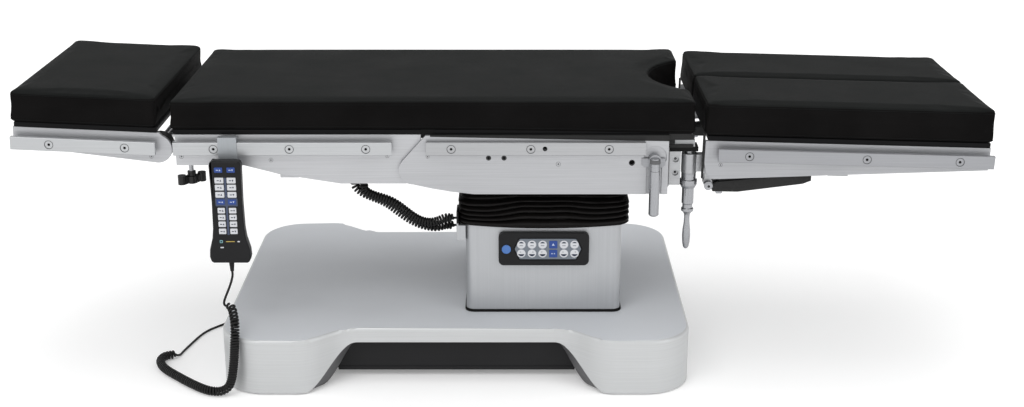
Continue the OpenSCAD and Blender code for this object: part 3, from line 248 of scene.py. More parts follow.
def material(name, color, rough, metal=0.0, coat=0.0, spec=0.5):
    mat = bpy.data.materials.new(name)
    mat.use_nodes = True
    bsdf = mat.node_tree.nodes["Principled BSDF"]
    bsdf.inputs["Base Color"].default_value = (*color, 1)
    bsdf.inputs["Roughness"].default_value = rough
    bsdf.inputs["Metallic"].default_value = metal
    bsdf.inputs["Coat Weight"].default_value = coat
    bsdf.inputs["Specular IOR Level"].default_value = spec
    return mat, mat.node_tree, bsdf


def coords(tree, scale):
    at = tree.nodes.new("ShaderNodeTexCoord")
    mapping = tree.nodes.new("ShaderNodeMapping")
    mapping.inputs["Scale"].default_value = scale
    tree.links.new(at.outputs["Object"], mapping.inputs["Vector"])
    return mapping.outputs["Vector"]


def noise(tree, scale, detail=3.0):
    tex = tree.nodes.new("ShaderNodeTexNoise")
    tex.inputs["Scale"].default_value = 1.0
    tex.inputs["Detail"].default_value = detail
    tex.inputs["Roughness"].default_value = 0.55
    tree.links.new(coords(tree, scale), tex.inputs["Vector"])
    return tex.outputs["Fac"]


def spread(tree, value, low, high, start=0.3, stop=0.7):
    rng = tree.nodes.new("ShaderNodeMapRange")
    rng.inputs["From Min"].default_value = start
    rng.inputs["From Max"].default_value = stop
    rng.inputs["To Min"].default_value = low
    rng.inputs["To Max"].default_value = high
    tree.links.new(value, rng.inputs["Value"])
    return rng.outputs["Result"]


def combine(tree, operation, a, b):
    node = tree.nodes.new("ShaderNodeMath")
    node.operation = operation
    tree.links.new(a, node.inputs[0])
    tree.links.new(b, node.inputs[1])
    return node.outputs["Value"]


def tint(tree, bsdf, value, color, low, high):
    """Lets the colour vary between low and high times its tone."""
    ramp = tree.nodes.new("ShaderNodeValToRGB")
    dark, bright = ramp.color_ramp.elements
    dark.position, bright.position = 0.35, 0.65
    dark.color = (*[c * low for c in color], 1)
    bright.color = (*[min(1, c * high) for c in color], 1)
    tree.links.new(value, ramp.inputs["Fac"])
    tree.links.new(ramp.outputs["Color"], bsdf.inputs["Base Color"])


def bump(tree, bsdf, value, distance, strength):
    node = tree.nodes.new("ShaderNodeBump")
    node.inputs["Strength"].default_value = strength
    node.inputs["Distance"].default_value = distance
    tree.links.new(value, node.inputs["Height"])
    tree.links.new(node.outputs["Normal"], bsdf.inputs["Normal"])


def brushed(name, color, rough, metal, streaks=(6, 900, 900), vary=0.06):
    """Metal with fine streaks along one axis and a slow change of gloss."""
    mat, tree, bsdf = material(name, color, rough, metal)
    fine = noise(tree, streaks, 2.0)
    tint(tree, bsdf, fine, color, 1 - vary, 1 + vary)
    slow = noise(tree, (5, 9, 9), 2.0)
    tree.links.new(spread(tree, slow, rough - 0.05, rough + 0.06), bsdf.inputs["Roughness"])
    bump(tree, bsdf, fine, 0.00008, 0.35)
    return mat


def painted(name, color, rough, grain=700, vary=0.03, metal=0.0, coat=0.0, spec=0.5):
    """Paint or moulded plastic with a fine orange peel."""
    mat, tree, bsdf = material(name, color, rough, metal, coat, spec)
    slow = noise(tree, (4, 4, 4), 3.0)
    tint(tree, bsdf, slow, color, 1 - vary, 1 + vary)
    fine = noise(tree, (grain, grain, grain), 2.0)
    tree.links.new(spread(tree, fine, rough - 0.04, rough + 0.05), bsdf.inputs["Roughness"])
    bump(tree, bsdf, fine, 0.00006, 0.5)
    return mat


def leather(name, color, spec=0.012):
    """Black upholstery with small pebbled grain and slow waves, almost without gloss."""
    mat, tree, bsdf = material(name, color, 0.5, 0, 0, spec)
    cells = tree.nodes.new("ShaderNodeTexVoronoi")
    cells.feature = "DISTANCE_TO_EDGE"
    cells.inputs["Scale"].default_value = 1.0
    tree.links.new(coords(tree, (620, 620, 620)), cells.inputs["Vector"])
    slow = noise(tree, (7, 7, 7), 4.0)
    tint(tree, bsdf, slow, color, 0.86, 1.16)
    tree.links.new(spread(tree, slow, 0.44, 0.56), bsdf.inputs["Roughness"])
    pebbles = spread(tree, cells.outputs["Distance"], 0.0, 0.5, 0.0, 0.25)
    height = combine(tree, "ADD", pebbles, noise(tree, (60, 60, 60), 3.0))
    bump(tree, bsdf, height, 0.00022, 0.6)
    return mat


def rubber(name, color, rough=0.62, grain=300, spec=0.3):
    """Rubber, cloth or cord jackets with a rough grain."""
    mat, tree, bsdf = material(name, color, rough, 0, 0, spec)
    fine = noise(tree, (grain, grain, grain), 4.0)
    tint(tree, bsdf, fine, color, 0.8, 1.25)
    slow = noise(tree, (12, 12, 12))
    tree.links.new(spread(tree, slow, rough - 0.08, rough + 0.08), bsdf.inputs["Roughness"])
    bump(tree, bsdf, fine, 0.0002, 0.5)
    return mat


M = {
    "plate": brushed("plate_steel", (0.47, 0.475, 0.49), 0.42, 0.7),
    # Darker copies of the plate steel: painted shade on the seat's and head's plates, deeper on the legs'
    "plate_shaded": brushed("plate_steel_painted_shade", (0.435, 0.44, 0.455), 0.42, 0.7),
    "plate_deep_shaded": brushed("plate_steel_painted_deep_shade", (0.385, 0.39, 0.405), 0.42, 0.7),
    "rail": brushed("rail_steel", (0.45, 0.46, 0.47), 0.34, 0.75, (4, 1200, 1200)),
    # Darker copies of the rail steel: painted shade on the seat's rails, deeper on the legs' rails and the
    # lock wings
    "rail_shaded": brushed("rail_steel_painted_shade", (0.385, 0.39, 0.40), 0.34, 0.75, (4, 1200, 1200)),
    "rail_deep_shaded": brushed("rail_steel_painted_deep_shade", (0.305, 0.31, 0.325), 0.34, 0.75, (4, 1200, 1200)),
    "turned": brushed("turned_steel", (0.33, 0.335, 0.35), 0.26, 0.9, (700, 700, 30)),
    "block": brushed("block_steel", (0.385, 0.39, 0.40), 0.36, 0.85, (30, 600, 600)),
    "side": brushed("base_side", (0.56, 0.57, 0.575), 0.40, 0.35, (5, 5, 500), 0.03),
    "top": painted("base_top", (0.60, 0.62, 0.65), 0.45, 500, 0.025, 0.1),
    "column": brushed("column_satin", (0.42, 0.43, 0.445), 0.36, 0.6, (500, 500, 4), 0.025),
    # Dark grey: painted shade inside the base's arches, and the lever collars' own dark grey
    "return": painted("arch_return", (0.10, 0.10, 0.105), 0.5),
    "leather": leather("pad_leather", (0.0105, 0.0112, 0.011)),
    # A darker copy of the pad leather for the sides: painted shade, as the tops catch more light
    "leather_shaded_side": leather("side_leather_painted_shade", (0.0072, 0.0068, 0.0068), 0.006),
    "welt": leather("welt_leather", (0.010, 0.0102, 0.0102)),
    "board": painted("board_laminate", (0.0045, 0.0045, 0.005), 0.5, 260, 0.1, spec=0.1),
    "plastic": painted("moulded_black", (0.012, 0.012, 0.013), 0.45, 900, 0.1, spec=0.16),
    "cap": painted("cap_black", (0.006, 0.006, 0.006), 0.5, 600, 0.1, spec=0.1),
    "knob": painted("knob_black", (0.010, 0.010, 0.010), 0.34, 600, 0.1, 0, 0.1, spec=0.25),
    "chassis": painted("chassis_paint", (0.014, 0.014, 0.015), 0.5, 350, 0.08, spec=0.2),
    "frame": painted("frame_paint", (0.46, 0.47, 0.48), 0.45, 300, 0.04, 0.2),
    "mast": brushed("mast_steel", (0.45, 0.46, 0.48), 0.25, 0.95, (400, 400, 5)),
    "rubber": rubber("rubber_black", (0.012, 0.012, 0.012)),
    "gasket": rubber("gasket_black", (0.006, 0.006, 0.006), 0.7, 300, 0.1),
    "bellows": rubber("bellows_cloth", (0.0050, 0.0042, 0.0040), 0.5, 140, 0.14),
    "cord": rubber("cord_black", (0.006, 0.006, 0.006), 0.42, 500, 0.25),
    "pump": painted("pump_paint", (0.09, 0.10, 0.11), 0.4, 300, 0.08),
    "button": painted("button_blue", (0.05, 0.16, 0.46), 0.38, 600, 0.08, 0, 0.2),
    "keyblue": painted("key_blue", (0.025, 0.065, 0.27), 0.4, 700, 0.08, spec=0.3),
    "keywhite": painted("key_white", (0.62, 0.63, 0.66), 0.42, 700, 0.02, spec=0.3),
    "foil": painted("foil_grey", (0.17, 0.19, 0.22), 0.4, 500, 0.05, 0.2, spec=0.3),
    "strip": painted("strip_blue", (0.058, 0.074, 0.126), 0.42, 500, 0.05, spec=0.3),
    "ink": painted("print_ink", (0.012, 0.02, 0.045), 0.5, 500, 0.1, spec=0.2),
    "inklight": painted("print_light", (0.50, 0.56, 0.72), 0.5, 500, 0.05, spec=0.2),
    # Near-black for sockets and holes: painted shade in recesses
    "dark": painted("socket_painted_shade", (0.006, 0.006, 0.006), 0.6, 300, 0.1, spec=0.1),
    "groove": painted("groove_grey", (0.05, 0.05, 0.052), 0.6, 300, 0.1, spec=0.2),
    "clip": brushed("clip_steel", (0.36, 0.38, 0.40), 0.4, 0.6, (900, 900, 8), 0.04),
    "lamp": painted("lamp_amber", (0.42, 0.30, 0.05), 0.3, 500, 0.05, 0, 0.3),
    "teal": painted("lamp_teal", (0.16, 0.36, 0.38), 0.3, 500, 0.05, 0, 0.3),
}


# Cords: their centre lines in millimetres, as in the solids, with the first loops hanging freer

LEAD = [(-582, -297, 256.7), (-582, -297, 246), (-585.5, -298, 232), (-591, -300, 217), (-597, -301, 203),
        (-602, -303, 190), (-603, -304, 182.5), (-600, -304.5, 178), (-596, -305, 179), (-593.5, -306, 183)]
COIL = [(-593.5, -306, 183), (-585, -316, 178), (-577.5, -336, 170), (-572, -356, 158), (-570.5, -368, 141),
        (-571.5, -374, 121), (-573, -375.5, 100), (-575, -377, 79), (-578, -378.5, 58), (-582, -379.5, 38),
        (-590, -380.8, 20.5), (-606, -382, 11.5), (-627, -379, 10.5), (-646, -369, 10.5), (-664, -355, 10.5),
        (-681, -340, 10.5), (-697, -325, 10.5), (-713, -309, 10.5), (-729, -293, 10.5), (-744, -277, 10.5),
        (-757, -260, 10.5), (-767, -241, 10.5), (-772, -220, 10.5), (-766, -200, 10.5), (-747, -190.5, 10.5)]
TAIL = [(-747, -190.5, 10.5), (-742, -187, 6.5), (-738, -174, 2.8), (-735, -157, 2.8), (-726, -118, 2.8),
        (-718, -85, 2.8), (-709, -56, 2.8), (-697, -33, 2.8), (-682, -14, 2.8), (-667, -2, 5),
        (-656, 4, 13), (-648, 8.5, 26), (-640, 10, 36.5), (-632.5, 10, 40), (-627.1, 10, 40)]
BACK_1 = [(-301, -200, 427.5), (-301, -200, 410), (-285, -200, 398.5), (-264, -200, 391.5),
        (-244.5, -200, 384), (-228, -200, 373.5), (-212.5, -200, 361), (-197.5, -200, 349),
        (-181, -200, 339), (-162, -200, 334), (-143, -200, 336.5), (-124.5, -200, 344), (-105.5, -200, 344)]
BACK_2 = [(-323, -174, 427.5), (-323, -174, 409.5), (-308.5, -174, 394.5), (-288.5, -174, 384.5),
        (-269, -174, 376.5), (-251, -174, 366.5), (-235, -174, 354), (-219, -174, 341.5),
        (-202.5, -174, 330), (-184.5, -174, 321), (-165, -174, 315), (-145, -174, 313.5),
        (-125, -174, 318), (-105.5, -174, 318)]
CORD_D = 0.0054
CURL_D = 0.0202
PER_TURN = 14


def smooth(t):
    t = max(0.0, min(1.0, t))
    return t * t * (3 - 2 * t)


def metres(route):
    return [Vector(p) * 0.001 for p in route]


def curve_point(p, t):
    m = len(p) - 1
    s = min(int(t * m), m - 1)
    f = t * m - s
    p1, p2 = p[s], p[s + 1]
    p0 = p[s - 1] if s > 0 else 2 * p1 - p2
    p3 = p[s + 2] if s < m - 1 else 2 * p2 - p1
    return ((2 * p1) + (p2 - p0) * f + (2 * p0 - 5 * p1 + 4 * p2 - p3) * f * f
            + (3 * p1 - p0 - 3 * p2 + p3) * f * f * f) / 2


def even(route, step):
    """Points at even distances on the smooth curve through the route."""
    dense = [curve_point(route, i / 2000) for i in range(2001)]
    total = [0.0]
    for a, b in zip(dense, dense[1:]):
        total.append(total[-1] + (b - a).length)
    n = max(2, round(total[-1] / step))
    out = []
    k = 0
    for i in range(n + 1):
        want = total[-1] * i / n
        while k < 1999 and total[k + 1] < want:
            k += 1
        f = (want - total[k]) / max(1e-9, total[k + 1] - total[k])
        out.append(dense[k].lerp(dense[k + 1], min(1, f)))
    return out


def path_length(path):
    return sum((b - a).length for a, b in zip(path, path[1:]))


def curls(route, count, ref, loosen=0.0, full_end=False):
    """A curly line along the route that starts and ends on it."""
    n = count * PER_TURN
    fine = even(route, path_length(even(route, 0.004)) / (n * 4))
    last = len(fine) - 1
    axis = []
    for i in range(n + 1):
        u = i / n
        # The first curls stand further apart
        w = min(1, u + loosen * u * (1 - u) ** 8) * last
        k = min(last - 1, int(w))
        axis.append(fine[k].lerp(fine[k + 1], w - k))
    big = (CURL_D - CORD_D) / 2
    out = []
    side = Vector(ref)
    for i, c in enumerate(axis):
        t = (axis[min(i + 1, n)] - axis[max(i - 1, 0)]).normalized()
        side = side - t * side.dot(t)
        side.normalize()
        b = t.cross(side)
        ease = smooth(min(1, min(2 * i, (4 if full_end else 1) * (n - i)) / PER_TURN))
        a = 2 * math.pi * i / PER_TURN
        out.append(c + big * ease * (math.cos(a) * side + math.sin(a) * b))
    return out


def tube(name, path, sides=8):
    """The cord's closed tube on a path, its rings turned as little as they can be."""
    turns = [2 * math.pi * k / sides for k in range(sides)]
    last = len(path) - 1
    side = Vector((0.3, 0.2, 1)).cross(path[1] - path[0]).normalized()
    loops = []
    for i, c in enumerate(path):
        t = (path[min(i + 1, last)] - path[max(i - 1, 0)]).normalized()
        side = (side - t * side.dot(t)).normalized()
        b = t.cross(side)
        loops.append([c + CORD_D / 2 * (math.cos(a) * side + math.sin(a) * b) for a in turns])
    return Shape().loft(loops).mesh(name, "cord", 50)


def make_cords():
    lead = even(metres(LEAD), 0.004)
    coil = curls(metres(COIL), 80, (1, 0.1, 0), 1.1, True)
    tail = even(metres(TAIL), 0.006)
    path = lead[:-1] + coil + tail[1:]
    cord = tube("handset_cord", path)
    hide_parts("handset_lead", "handset_coil", "handset_tail")
    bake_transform(cord)
    for name, route in (("back_cord_1", BACK_1), ("back_cord_2", BACK_2)):
        line = metres(route)
        path = curls(line, 38, (0, 1, 0.1))
        first = path[0] + (line[0] - line[1]).normalized() * CORD_D
        last = path[-1] + Vector((CORD_D, 0, 0))
        path = [first] + path + [last]
        cord = tube(name + "_curls", path)
        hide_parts(name)
        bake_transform(cord)


make_cords()


# Cushions

PAD_Z0, PAD_TOP = 0.560, 0.620
CORNER_R, CORNER_STEPS = 0.007, 6
VOXEL = 0.0058
SWELL = 0.0028
PRESSURE = 4.0
FRAMES = 20
WELT_R = 0.0009
SEAM_DEPTH, SEAM_REACH = 0.0008, 0.005
SPILL = 0.001
HINGE = Vector((-0.158, 0, 0.550))
HEAD_HUB, HEAD_LEAN = (-0.735, 0.516), 2.6
LEG_HINGE, LEG_LEAN = (0.446, 0.492), 1.6


def pad_outline(x0, x1, y0, y1, notch=None):
    """Plan outline, counter-clockwise, with a round cut-out in the end at x1."""
    points = rounded_rect(x0, x1, y0, y1, CORNER_R, CORNER_STEPS)
    if notch:
        at, r = notch
        half = math.acos(max(-1, min(1, (at - x1) / r)))
        turns = [math.pi + half - 2 * half * k / 24 for k in range(25)]
        first = CORNER_STEPS + 1
        points[first:first] = [(at + r * math.cos(a), r * math.sin(a)) for a in turns]
    return points


def inset_loop(outline, inset, z):
    """The outline at height z, drawn in along its corner normals."""
    loop = []
    for i, p in enumerate(outline):
        t = (Vector(outline[(i + 1) % len(outline)]) - Vector(outline[i - 1])).normalized()
        loop.append((p[0] - t.y * inset, p[1] + t.x * inset, z))
    return loop


def seam_loop(outline, z):
    """The outline as an even loop in space, a little drawn in."""
    ring = [Vector(p) for p in inset_loop(outline, 0.0005, z)]
    out = []
    for a, b in zip(ring, ring[1:] + ring[:1]):
        n = max(1, round((b - a).length / 0.006))
        out += [a.lerp(b, k / n) for k in range(n)]
    return out


def inflate(obj, low):
    """Voxel remesh, then cloth under pressure with the bottom held and the swelling limited."""
    mod = obj.modifiers.new("remesh", "REMESH")
    mod.mode = "VOXEL"
    mod.voxel_size = VOXEL
    apply_modifier(obj, mod)
    rest = [v.co.copy() for v in obj.data.vertices]
    pin = obj.vertex_groups.new(name="pin")
    pin.add([v.index for v in obj.data.vertices if v.co.z < low + VOXEL * 0.8], 1.0, "REPLACE")
    mod = obj.modifiers.new("cloth", "CLOTH")
    s = mod.settings
    s.quality = 4
    s.mass = 0.3
    s.tension_stiffness = s.compression_stiffness = 30
    s.shear_stiffness = 12
    s.bending_stiffness = 2
    s.use_pressure = True
    s.uniform_pressure_force = PRESSURE
    s.effector_weights.gravity = 0
    s.vertex_group_mass = "pin"
    mod.point_cache.frame_start = 1
    mod.point_cache.frame_end = FRAMES
    for f in range(1, FRAMES + 1):
        scene.frame_set(f)
    apply_modifier(obj, mod)
    scene.frame_set(1)
    for v, r in zip(obj.data.vertices, rest):
        d = v.co - r
        if d.length > SWELL:
            v.co = r + d * (SWELL / d.length)
    obj.vertex_groups.clear()


def subdivide(obj):
    mod = obj.modifiers.new("subdivision", "SUBSURF")
    mod.levels = 1
    mod.render_levels = 1
    apply_modifier(obj, mod)


def sew(obj, loops):
    """A seam: the cushion draws in along each closed loop, and a thin welt lies in the groove."""
    mesh = obj.data
    dense = [a.lerp(b, k / 8) for loop in loops for a, b in zip(loop, loop[1:] + loop[:1])
             for k in range(8)]
    tree = kdtree.KDTree(len(dense))
    for i, p in enumerate(dense):
        tree.insert(p, i)
    tree.balance()
    normals = [v.normal.copy() for v in mesh.vertices]
    for v, nrm in zip(mesh.vertices, normals):
        dist = tree.find(v.co)[2]
        if dist < SEAM_REACH:
            v.co -= nrm * SEAM_DEPTH * (1 - dist / SEAM_REACH) ** 2
    mesh.update()
    surface = BVHTree.FromObject(obj, bpy.context.evaluated_depsgraph_get())
    bm = bmesh.new()
    bm.from_mesh(mesh)
    welt = len(mesh.materials)
    mesh.materials.append(M["welt"])
    turns = [2 * math.pi * k / 6 for k in range(6)]
    for loop in loops:
        ring = []
        for p in loop:
            hit, nrm, _, _ = surface.find_nearest(p)
            ring.append((hit + nrm * WELT_R * 0.35, nrm))
        n = len(ring)
        rows = []
        for i, (c, nrm) in enumerate(ring):
            t = (ring[(i + 1) % n][0] - ring[i - 1][0]).normalized()
            b = t.cross(nrm).normalized()
            rows.append([bm.verts.new(c + WELT_R * (math.cos(a) * nrm + math.sin(a) * b)) for a in turns])
        for row, after in zip(rows, rows[1:] + rows[:1]):
            for k in range(6):
                k1 = (k + 1) % 6
                f = bm.faces.new((row[k], row[k1], after[k1], after[k]))
                f.material_index = welt
                f.smooth = True
    bmesh.ops.recalc_face_normals(bm, faces=bm.faces[:])
    bm.to_mesh(mesh)
    bm.free()


def cushion(name, x0, x1, y0, y1, z0=PAD_Z0, top=PAD_TOP, notch=None, gap_y=None):
    """One firm pad: a crowned form that swells under cloth pressure, with seams round its edges."""
    outline = pad_outline(x0, x1, y0, y1, notch)
    h = top - z0
    layers = [(0.0010, z0), (-0.0020, z0 + 0.002), (-0.0022, z0 + 0.010), (-0.0012, z0 + h * 0.5),
              (-0.0022, top - 0.010), (-0.0020, top - 0.003), (0.0004, top + 0.0012)]
    obj = Shape().loft([inset_loop(outline, inset, z) for inset, z in layers]).mesh(name, "leather")
    inflate(obj, z0)
    cx, cy = (x0 + x1) / 2, (y0 + y1) / 2
    hx, hy = (x1 - x0) / 2, (y1 - y0) / 2
    for v in obj.data.vertices:
        s, t = (v.co.x - cx) / hx, (v.co.y - cy) / hy
        high = smooth((v.co.z - z0 - h * 0.6) / (h * 0.4))
        v.co.z += high * 0.0018 * max(0, 1 - s ** 4) * max(0, 1 - t ** 4)
    subdivide(obj)
    far_y = y1 + SPILL if gap_y is None else gap_y
    for v in obj.data.vertices:
        v.co.z = min(max(v.co.z, z0 + 0.0002), top + 0.0045)
        v.co.x = min(max(v.co.x, x0 - SPILL), x1 + SPILL)
        v.co.y = min(max(v.co.y, y0 - SPILL), far_y)
    # Faces that do not look up take the darker leather: painted shade on the sides
    obj.data.materials.append(M["leather_shaded_side"])
    recolour(obj, 1, lambda p: p.normal.z < 0.5)
    sew(obj, [seam_loop(outline, top - 0.0065), seam_loop(outline, z0 + 0.006)])
    obj.data.shade_smooth()
    return obj


def turned_point(x, z, centre, deg):
    """The point turned about the Y axis through centre, positive as the CAD does."""
    a = math.radians(deg)
    x, z = x - centre[0], z - centre[1]
    return centre[0] + x * math.cos(a) + z * math.sin(a), centre[1] - x * math.sin(a) + z * math.cos(a)


def turn_about(obj, centre, deg):
    for v in obj.data.vertices:
        v.co.x, v.co.z = turned_point(v.co.x, v.co.z, centre, deg)


def upholster(obj, *nodes):
    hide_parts(*nodes)


def make_cushions():
    centre = cushion("centre_cushion", -0.704, 0.411, -0.250, 0.250, notch=(0.498, 0.165))
    for v in centre.data.vertices:
        # The seat's end of the cushion reaches lower over its board
        low = max(0, min(1, (v.co.x - HINGE.x) / 0.56)) * max(0, 1 - (v.co.z - PAD_Z0) / 0.030)
        v.co.z -= 0.010 * low
    upholster(centre, "back_pad", "seat_pad", "pad_fold")
    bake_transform(centre)
    head = cushion("head_cushion", -1.043, -0.738, -0.251, 0.250, PAD_Z0 + 0.003, PAD_TOP + 0.009)
    turn_about(head, HEAD_HUB, HEAD_LEAN)
    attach(head, "head")
    upholster(head, "head_pad")
    near = cushion("leg_cushion_near", 0.432, 1.045, -0.250, -0.0018, PAD_Z0 - 0.014, PAD_TOP - 0.004,
                   gap_y=-0.0012)
    far = new_object("leg_cushion_far", near.data.copy())
    for v in far.data.vertices:
        v.co.y = -v.co.y
    far.data.flip_normals()
    for obj, side in ((near, "near"), (far, "far")):
        turn_about(obj, LEG_HINGE, LEG_LEAN)
        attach(obj, "leg_" + side)
        upholster(obj, "leg_pad_" + side)


make_cushions()


# Bellows: soft gathers that sag along the column's sides

COLUMN_X = 0.092
FOLDS = 6


def make_bellows():
    rows = FOLDS * 8
    z0, z1 = 0.3366, 0.4035
    half_x, half_y = 0.188, 0.2198
    ring = rounded_rect(-half_x, half_x, -half_y, half_y, 0.028, 8)
    outline = []
    for p, q in zip(ring, ring[1:] + ring[:1]):
        n = max(1, round(math.dist(p, q) / 0.008))
        outline += [(p[0] + (q[0] - p[0]) * k / n, p[1] + (q[1] - p[1]) * k / n) for k in range(n)]

    def gathered(x, y, f):
        ang = math.atan2(y / half_y, x / half_x)
        # Folds that run a little aslant, so that they meet and part along the sides
        slant = 0.30 * math.sin(2 * ang + 0.7) + 0.22 * math.sin(5 * ang + 0.4) + 0.10 * math.sin(11 * ang)
        phase = 2 * math.pi * (FOLDS * f + slant * math.sin(math.pi * f) * 1.4)
        tuck = (0.5 + 0.5 * math.cos(phase)) ** 2
        ends = min(1, 8 * f, 12 * (1 - f))
        depth = 0.0085 * tuck * ends + 0.0075 * max(0, f - 0.72) / 0.28
        k = 1 - depth / max(half_x, half_y) * 1.5
        long_side = abs(y) > half_y * 0.9
        across = min(1, abs(x) / half_x) if long_side else min(1, abs(y) / half_y)
        sag = (0.0105 if long_side else 0.007) * max(0.0, math.cos(across * math.pi / 2)) ** 0.8
        return COLUMN_X + x * k, y * k, z0 + (z1 - z0) * f - sag * (1 - f) ** 1.3

    loops = [[gathered(x, y, j / rows) for x, y in outline] for j in range(rows + 1)]
    # Hem that turns in under the lowest fold
    hem = [(COLUMN_X + (x - COLUMN_X) * 0.985, y * 0.985, z + 0.004) for x, y, z in loops[0]]
    obj = Shape().loft([hem] + loops).mesh("bellows_cloth", "bellows", 60)
    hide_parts("bellows")
    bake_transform(obj)


make_bellows()


# Rigid parts: CAD shapes with rounded edges

SIDES = (-1, "near"), (1, "far")
BASE_X, HALF_WIDTH = -0.101, 0.378
LOBE, WAIST, WAIST_D = 0.325, 0.235, 0.066
BEND, SOFT_BEND = 0.18, 0.45
HEM_Z = 0.3345

# Where the base's outline in the CAD has its points, from the lobe to the waist
OUTLINE_T = [0, 0.06, 0.12, 0.18, 0.5, 0.82, 0.88, 0.94, 1]


def outer_top_edge(e):
    """The base cover's upper outer edge."""
    if any(v.co.z < 0.1265 for v in e.verts):
        return False
    mid = (e.verts[0].co + e.verts[1].co) / 2
    return abs(mid.y) > 0.2 or abs(mid.x - 0.088) > 0.2


def ramp(t, r):
    """A straight ramp from 0 to 1 with a bend of length r at each end."""
    if t < r:
        return t * t / (2 * r * (1 - r))
    if t > 1 - r:
        return 1 - (1 - t) ** 2 / (2 * r * (1 - r))
    return (t - r / 2) / (1 - r)


def cad_ramp(t):
    for a, b in zip(OUTLINE_T, OUTLINE_T[1:]):
        if t <= b:
            return ramp(a, BEND) + (ramp(b, BEND) - ramp(a, BEND)) * (t - a) / (b - a)
    return 1.0


def soft_ramp(t):
    """The same step with longer bends."""
    return ramp(max(0, min(1, (t + 0.25) / 1.5)), SOFT_BEND)


def cut_across(bm, at, normal):
    bmesh.ops.bisect_plane(bm, geom=bm.verts[:] + bm.edges[:] + bm.faces[:], dist=1e-6,
                           plane_co=at, plane_no=normal)


def ease_bends(bm, beyond=0.28):
    """Makes the bends between the lobes and the waist longer, so that they shade softly."""
    for side in (-1, 1):
        for k in range(25):
            x = BASE_X + side * (LOBE - (LOBE - WAIST) * (k / 16 - 0.25))
            cut_across(bm, (x, 0, 0), (1, 0, 0))
    for v in bm.verts:
        t = (LOBE - abs(v.co.x - BASE_X)) / (LOBE - WAIST)
        if abs(v.co.y) > beyond and -0.3 < t < 1.3:
            way = 1 if v.co.y > 0 else -1
            v.co.y += way * WAIST_D * (cad_ramp(max(0, min(1, t))) - soft_ramp(t))


def turn_round(obj, cx, cy, deg):
    """Turns the mesh about a vertical line."""
    obj.data.transform(Matrix.Translation((cx, cy, 0)) @ Matrix.Rotation(math.radians(deg), 4, "Z")
                       @ Matrix.Translation((-cx, -cy, 0)))


def make_rigid():
    # Base: painted top, satin sides, dark returns of the arches, whose dark grey is painted shade
    base = softened("base_cover", 0.0075, "side top return", "base", 60, 5, outer_top_edge, ease_bends)
    recolour(base, 1, lambda p: p.normal.z > 0.97 and p.center.z > 0.12)
    # Downward faces low in the arches take the dark grey: painted shade
    recolour(base, 2, lambda p: abs(p.normal.y) < 0.2 and p.normal.z < -0.05
             and p.center.z < 0.1 and abs(p.center.y) > 0.28)
    softened("column_cover", 0.0012, "column", "base")
    # The chassis pan follows the cover's softer bends, the belly panels stay
    softened("chassis", 0.001, "chassis", "base", reshape=lambda bm: ease_bends(bm, 0.30))
    softened("panel_frame", 0.0025, "plastic", "base", 50, 3)
    softened("power_button", 0.0008, "button", "power_button")
    # The seat's and head's plates and the seat's rails take the darker steel copies: painted shade
    for kind, width, bevel, looks in (
            ("plates", 0.0008, (40, 2), {"seat": "plate_shaded", "back": "plate", "head": "plate_shaded"}),
            ("rails", 0.0004, (40, 2), {"seat": "rail_shaded", "back": "rail", "head": "rail"}),
            ("board", 0.003, (50, 3), {"seat": "board", "back": "board", "head": "board"})):
        for body, look in looks.items():
            softened(body + "_" + kind, width, look, body, *bevel)
    mounts = softened("leg_mounts", 0.0010, "block cap", "seat", 40)
    recolour(mounts, 1, lambda p: p.center.z > 0.5057 and p.center.x > 0.3595)
    softened("rail_clip", 0.0006, "clip", "back", 40)
    softened("handset", 0.005, "plastic", "hand_control", 30, 4)
    softened("junction_box", 0.003, "plastic", "back", 40, 3)
    # The cords' bracket changes colour level with the bellows' hem
    entries = softened("cord_entries", 0.0010, "plastic column", "base", 40,
                       reshape=lambda bm: cut_across(bm, (0, 0, HEM_Z), (0, 0, 1)))
    recolour(entries, 1, lambda p: 0.1 < p.center.z < HEM_Z)
    for sign, side in SIDES:
        leg = "leg_" + side
        # The legs' plates and rails take the darkest steel copies: painted shade
        softened("leg_plate_" + side, 0.0008, "plate_deep_shaded", leg, 40)
        softened("leg_rail_" + side, 0.0004, "rail_deep_shaded", leg, 40)
        softened("leg_board_" + side, 0.003, "board", leg, 50, 3)
        softened("leg_swivel_" + side, 0.0010, "block", "leg_swivel_" + side, 40)
        softened("clamp_handle_" + side, 0.0006, "turned", "clamp_handle_" + side, 40)
        softened("lock_lever_" + side, 0.0008, "turned", "lock_lever_" + side, 40)
        knob = softened("head_knob_" + side, 0.0022, "knob turned", "head_knob_" + side, 40, 3)
        turn_round(knob, -0.672, sign * 0.218, 35)
        recolour(knob, 1, lambda p: p.center.z > 0.4605)
        softened("strut_barrel_" + side, 0.0008, "knob", "strut_barrel_" + side, 40)


def make_arch_returns():
    """Dark flared walls that close each end of the arches, in to the belly panels; their dark grey is painted
    shade.
    """
    half, slope, high, inner_y = 0.331, 0.112, 0.095, 0.2826
    for near in (-1, 1):
        for side in (-1, 1):
            loops = []
            for k in range(15):
                f = min(1.0, k / 13)
                x = half - slope * f
                z = 0.0035 + (high - 0.0045) * smooth(f) if k < 14 else high - 0.0006
                y = HALF_WIDTH - WAIST_D * soft_ramp((LOBE - x) / (LOBE - WAIST)) - 0.0026
                flare = 0.036 - 0.024 * f
                corners = ((x, y), (x - flare, max(0.2835, y - 0.036)), (x - flare, inner_y), (x, inner_y))
                loops.append([(BASE_X + side * px, near * py, z) for px, py in corners])
            wall = Shape().loft(loops)
            wall.faces = [f[::near * side] for f in wall.faces]
            end = "head" if side < 0 else "foot"
            name = "arch_return_%s_%s" % ("near" if near < 0 else "far", end)
            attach(wall.mesh(name, "return", 50), "base")


def box(x0, z0, x1, z1):
    return [(x0, z0), (x1, z0), (x1, z1), (x0, z1)]


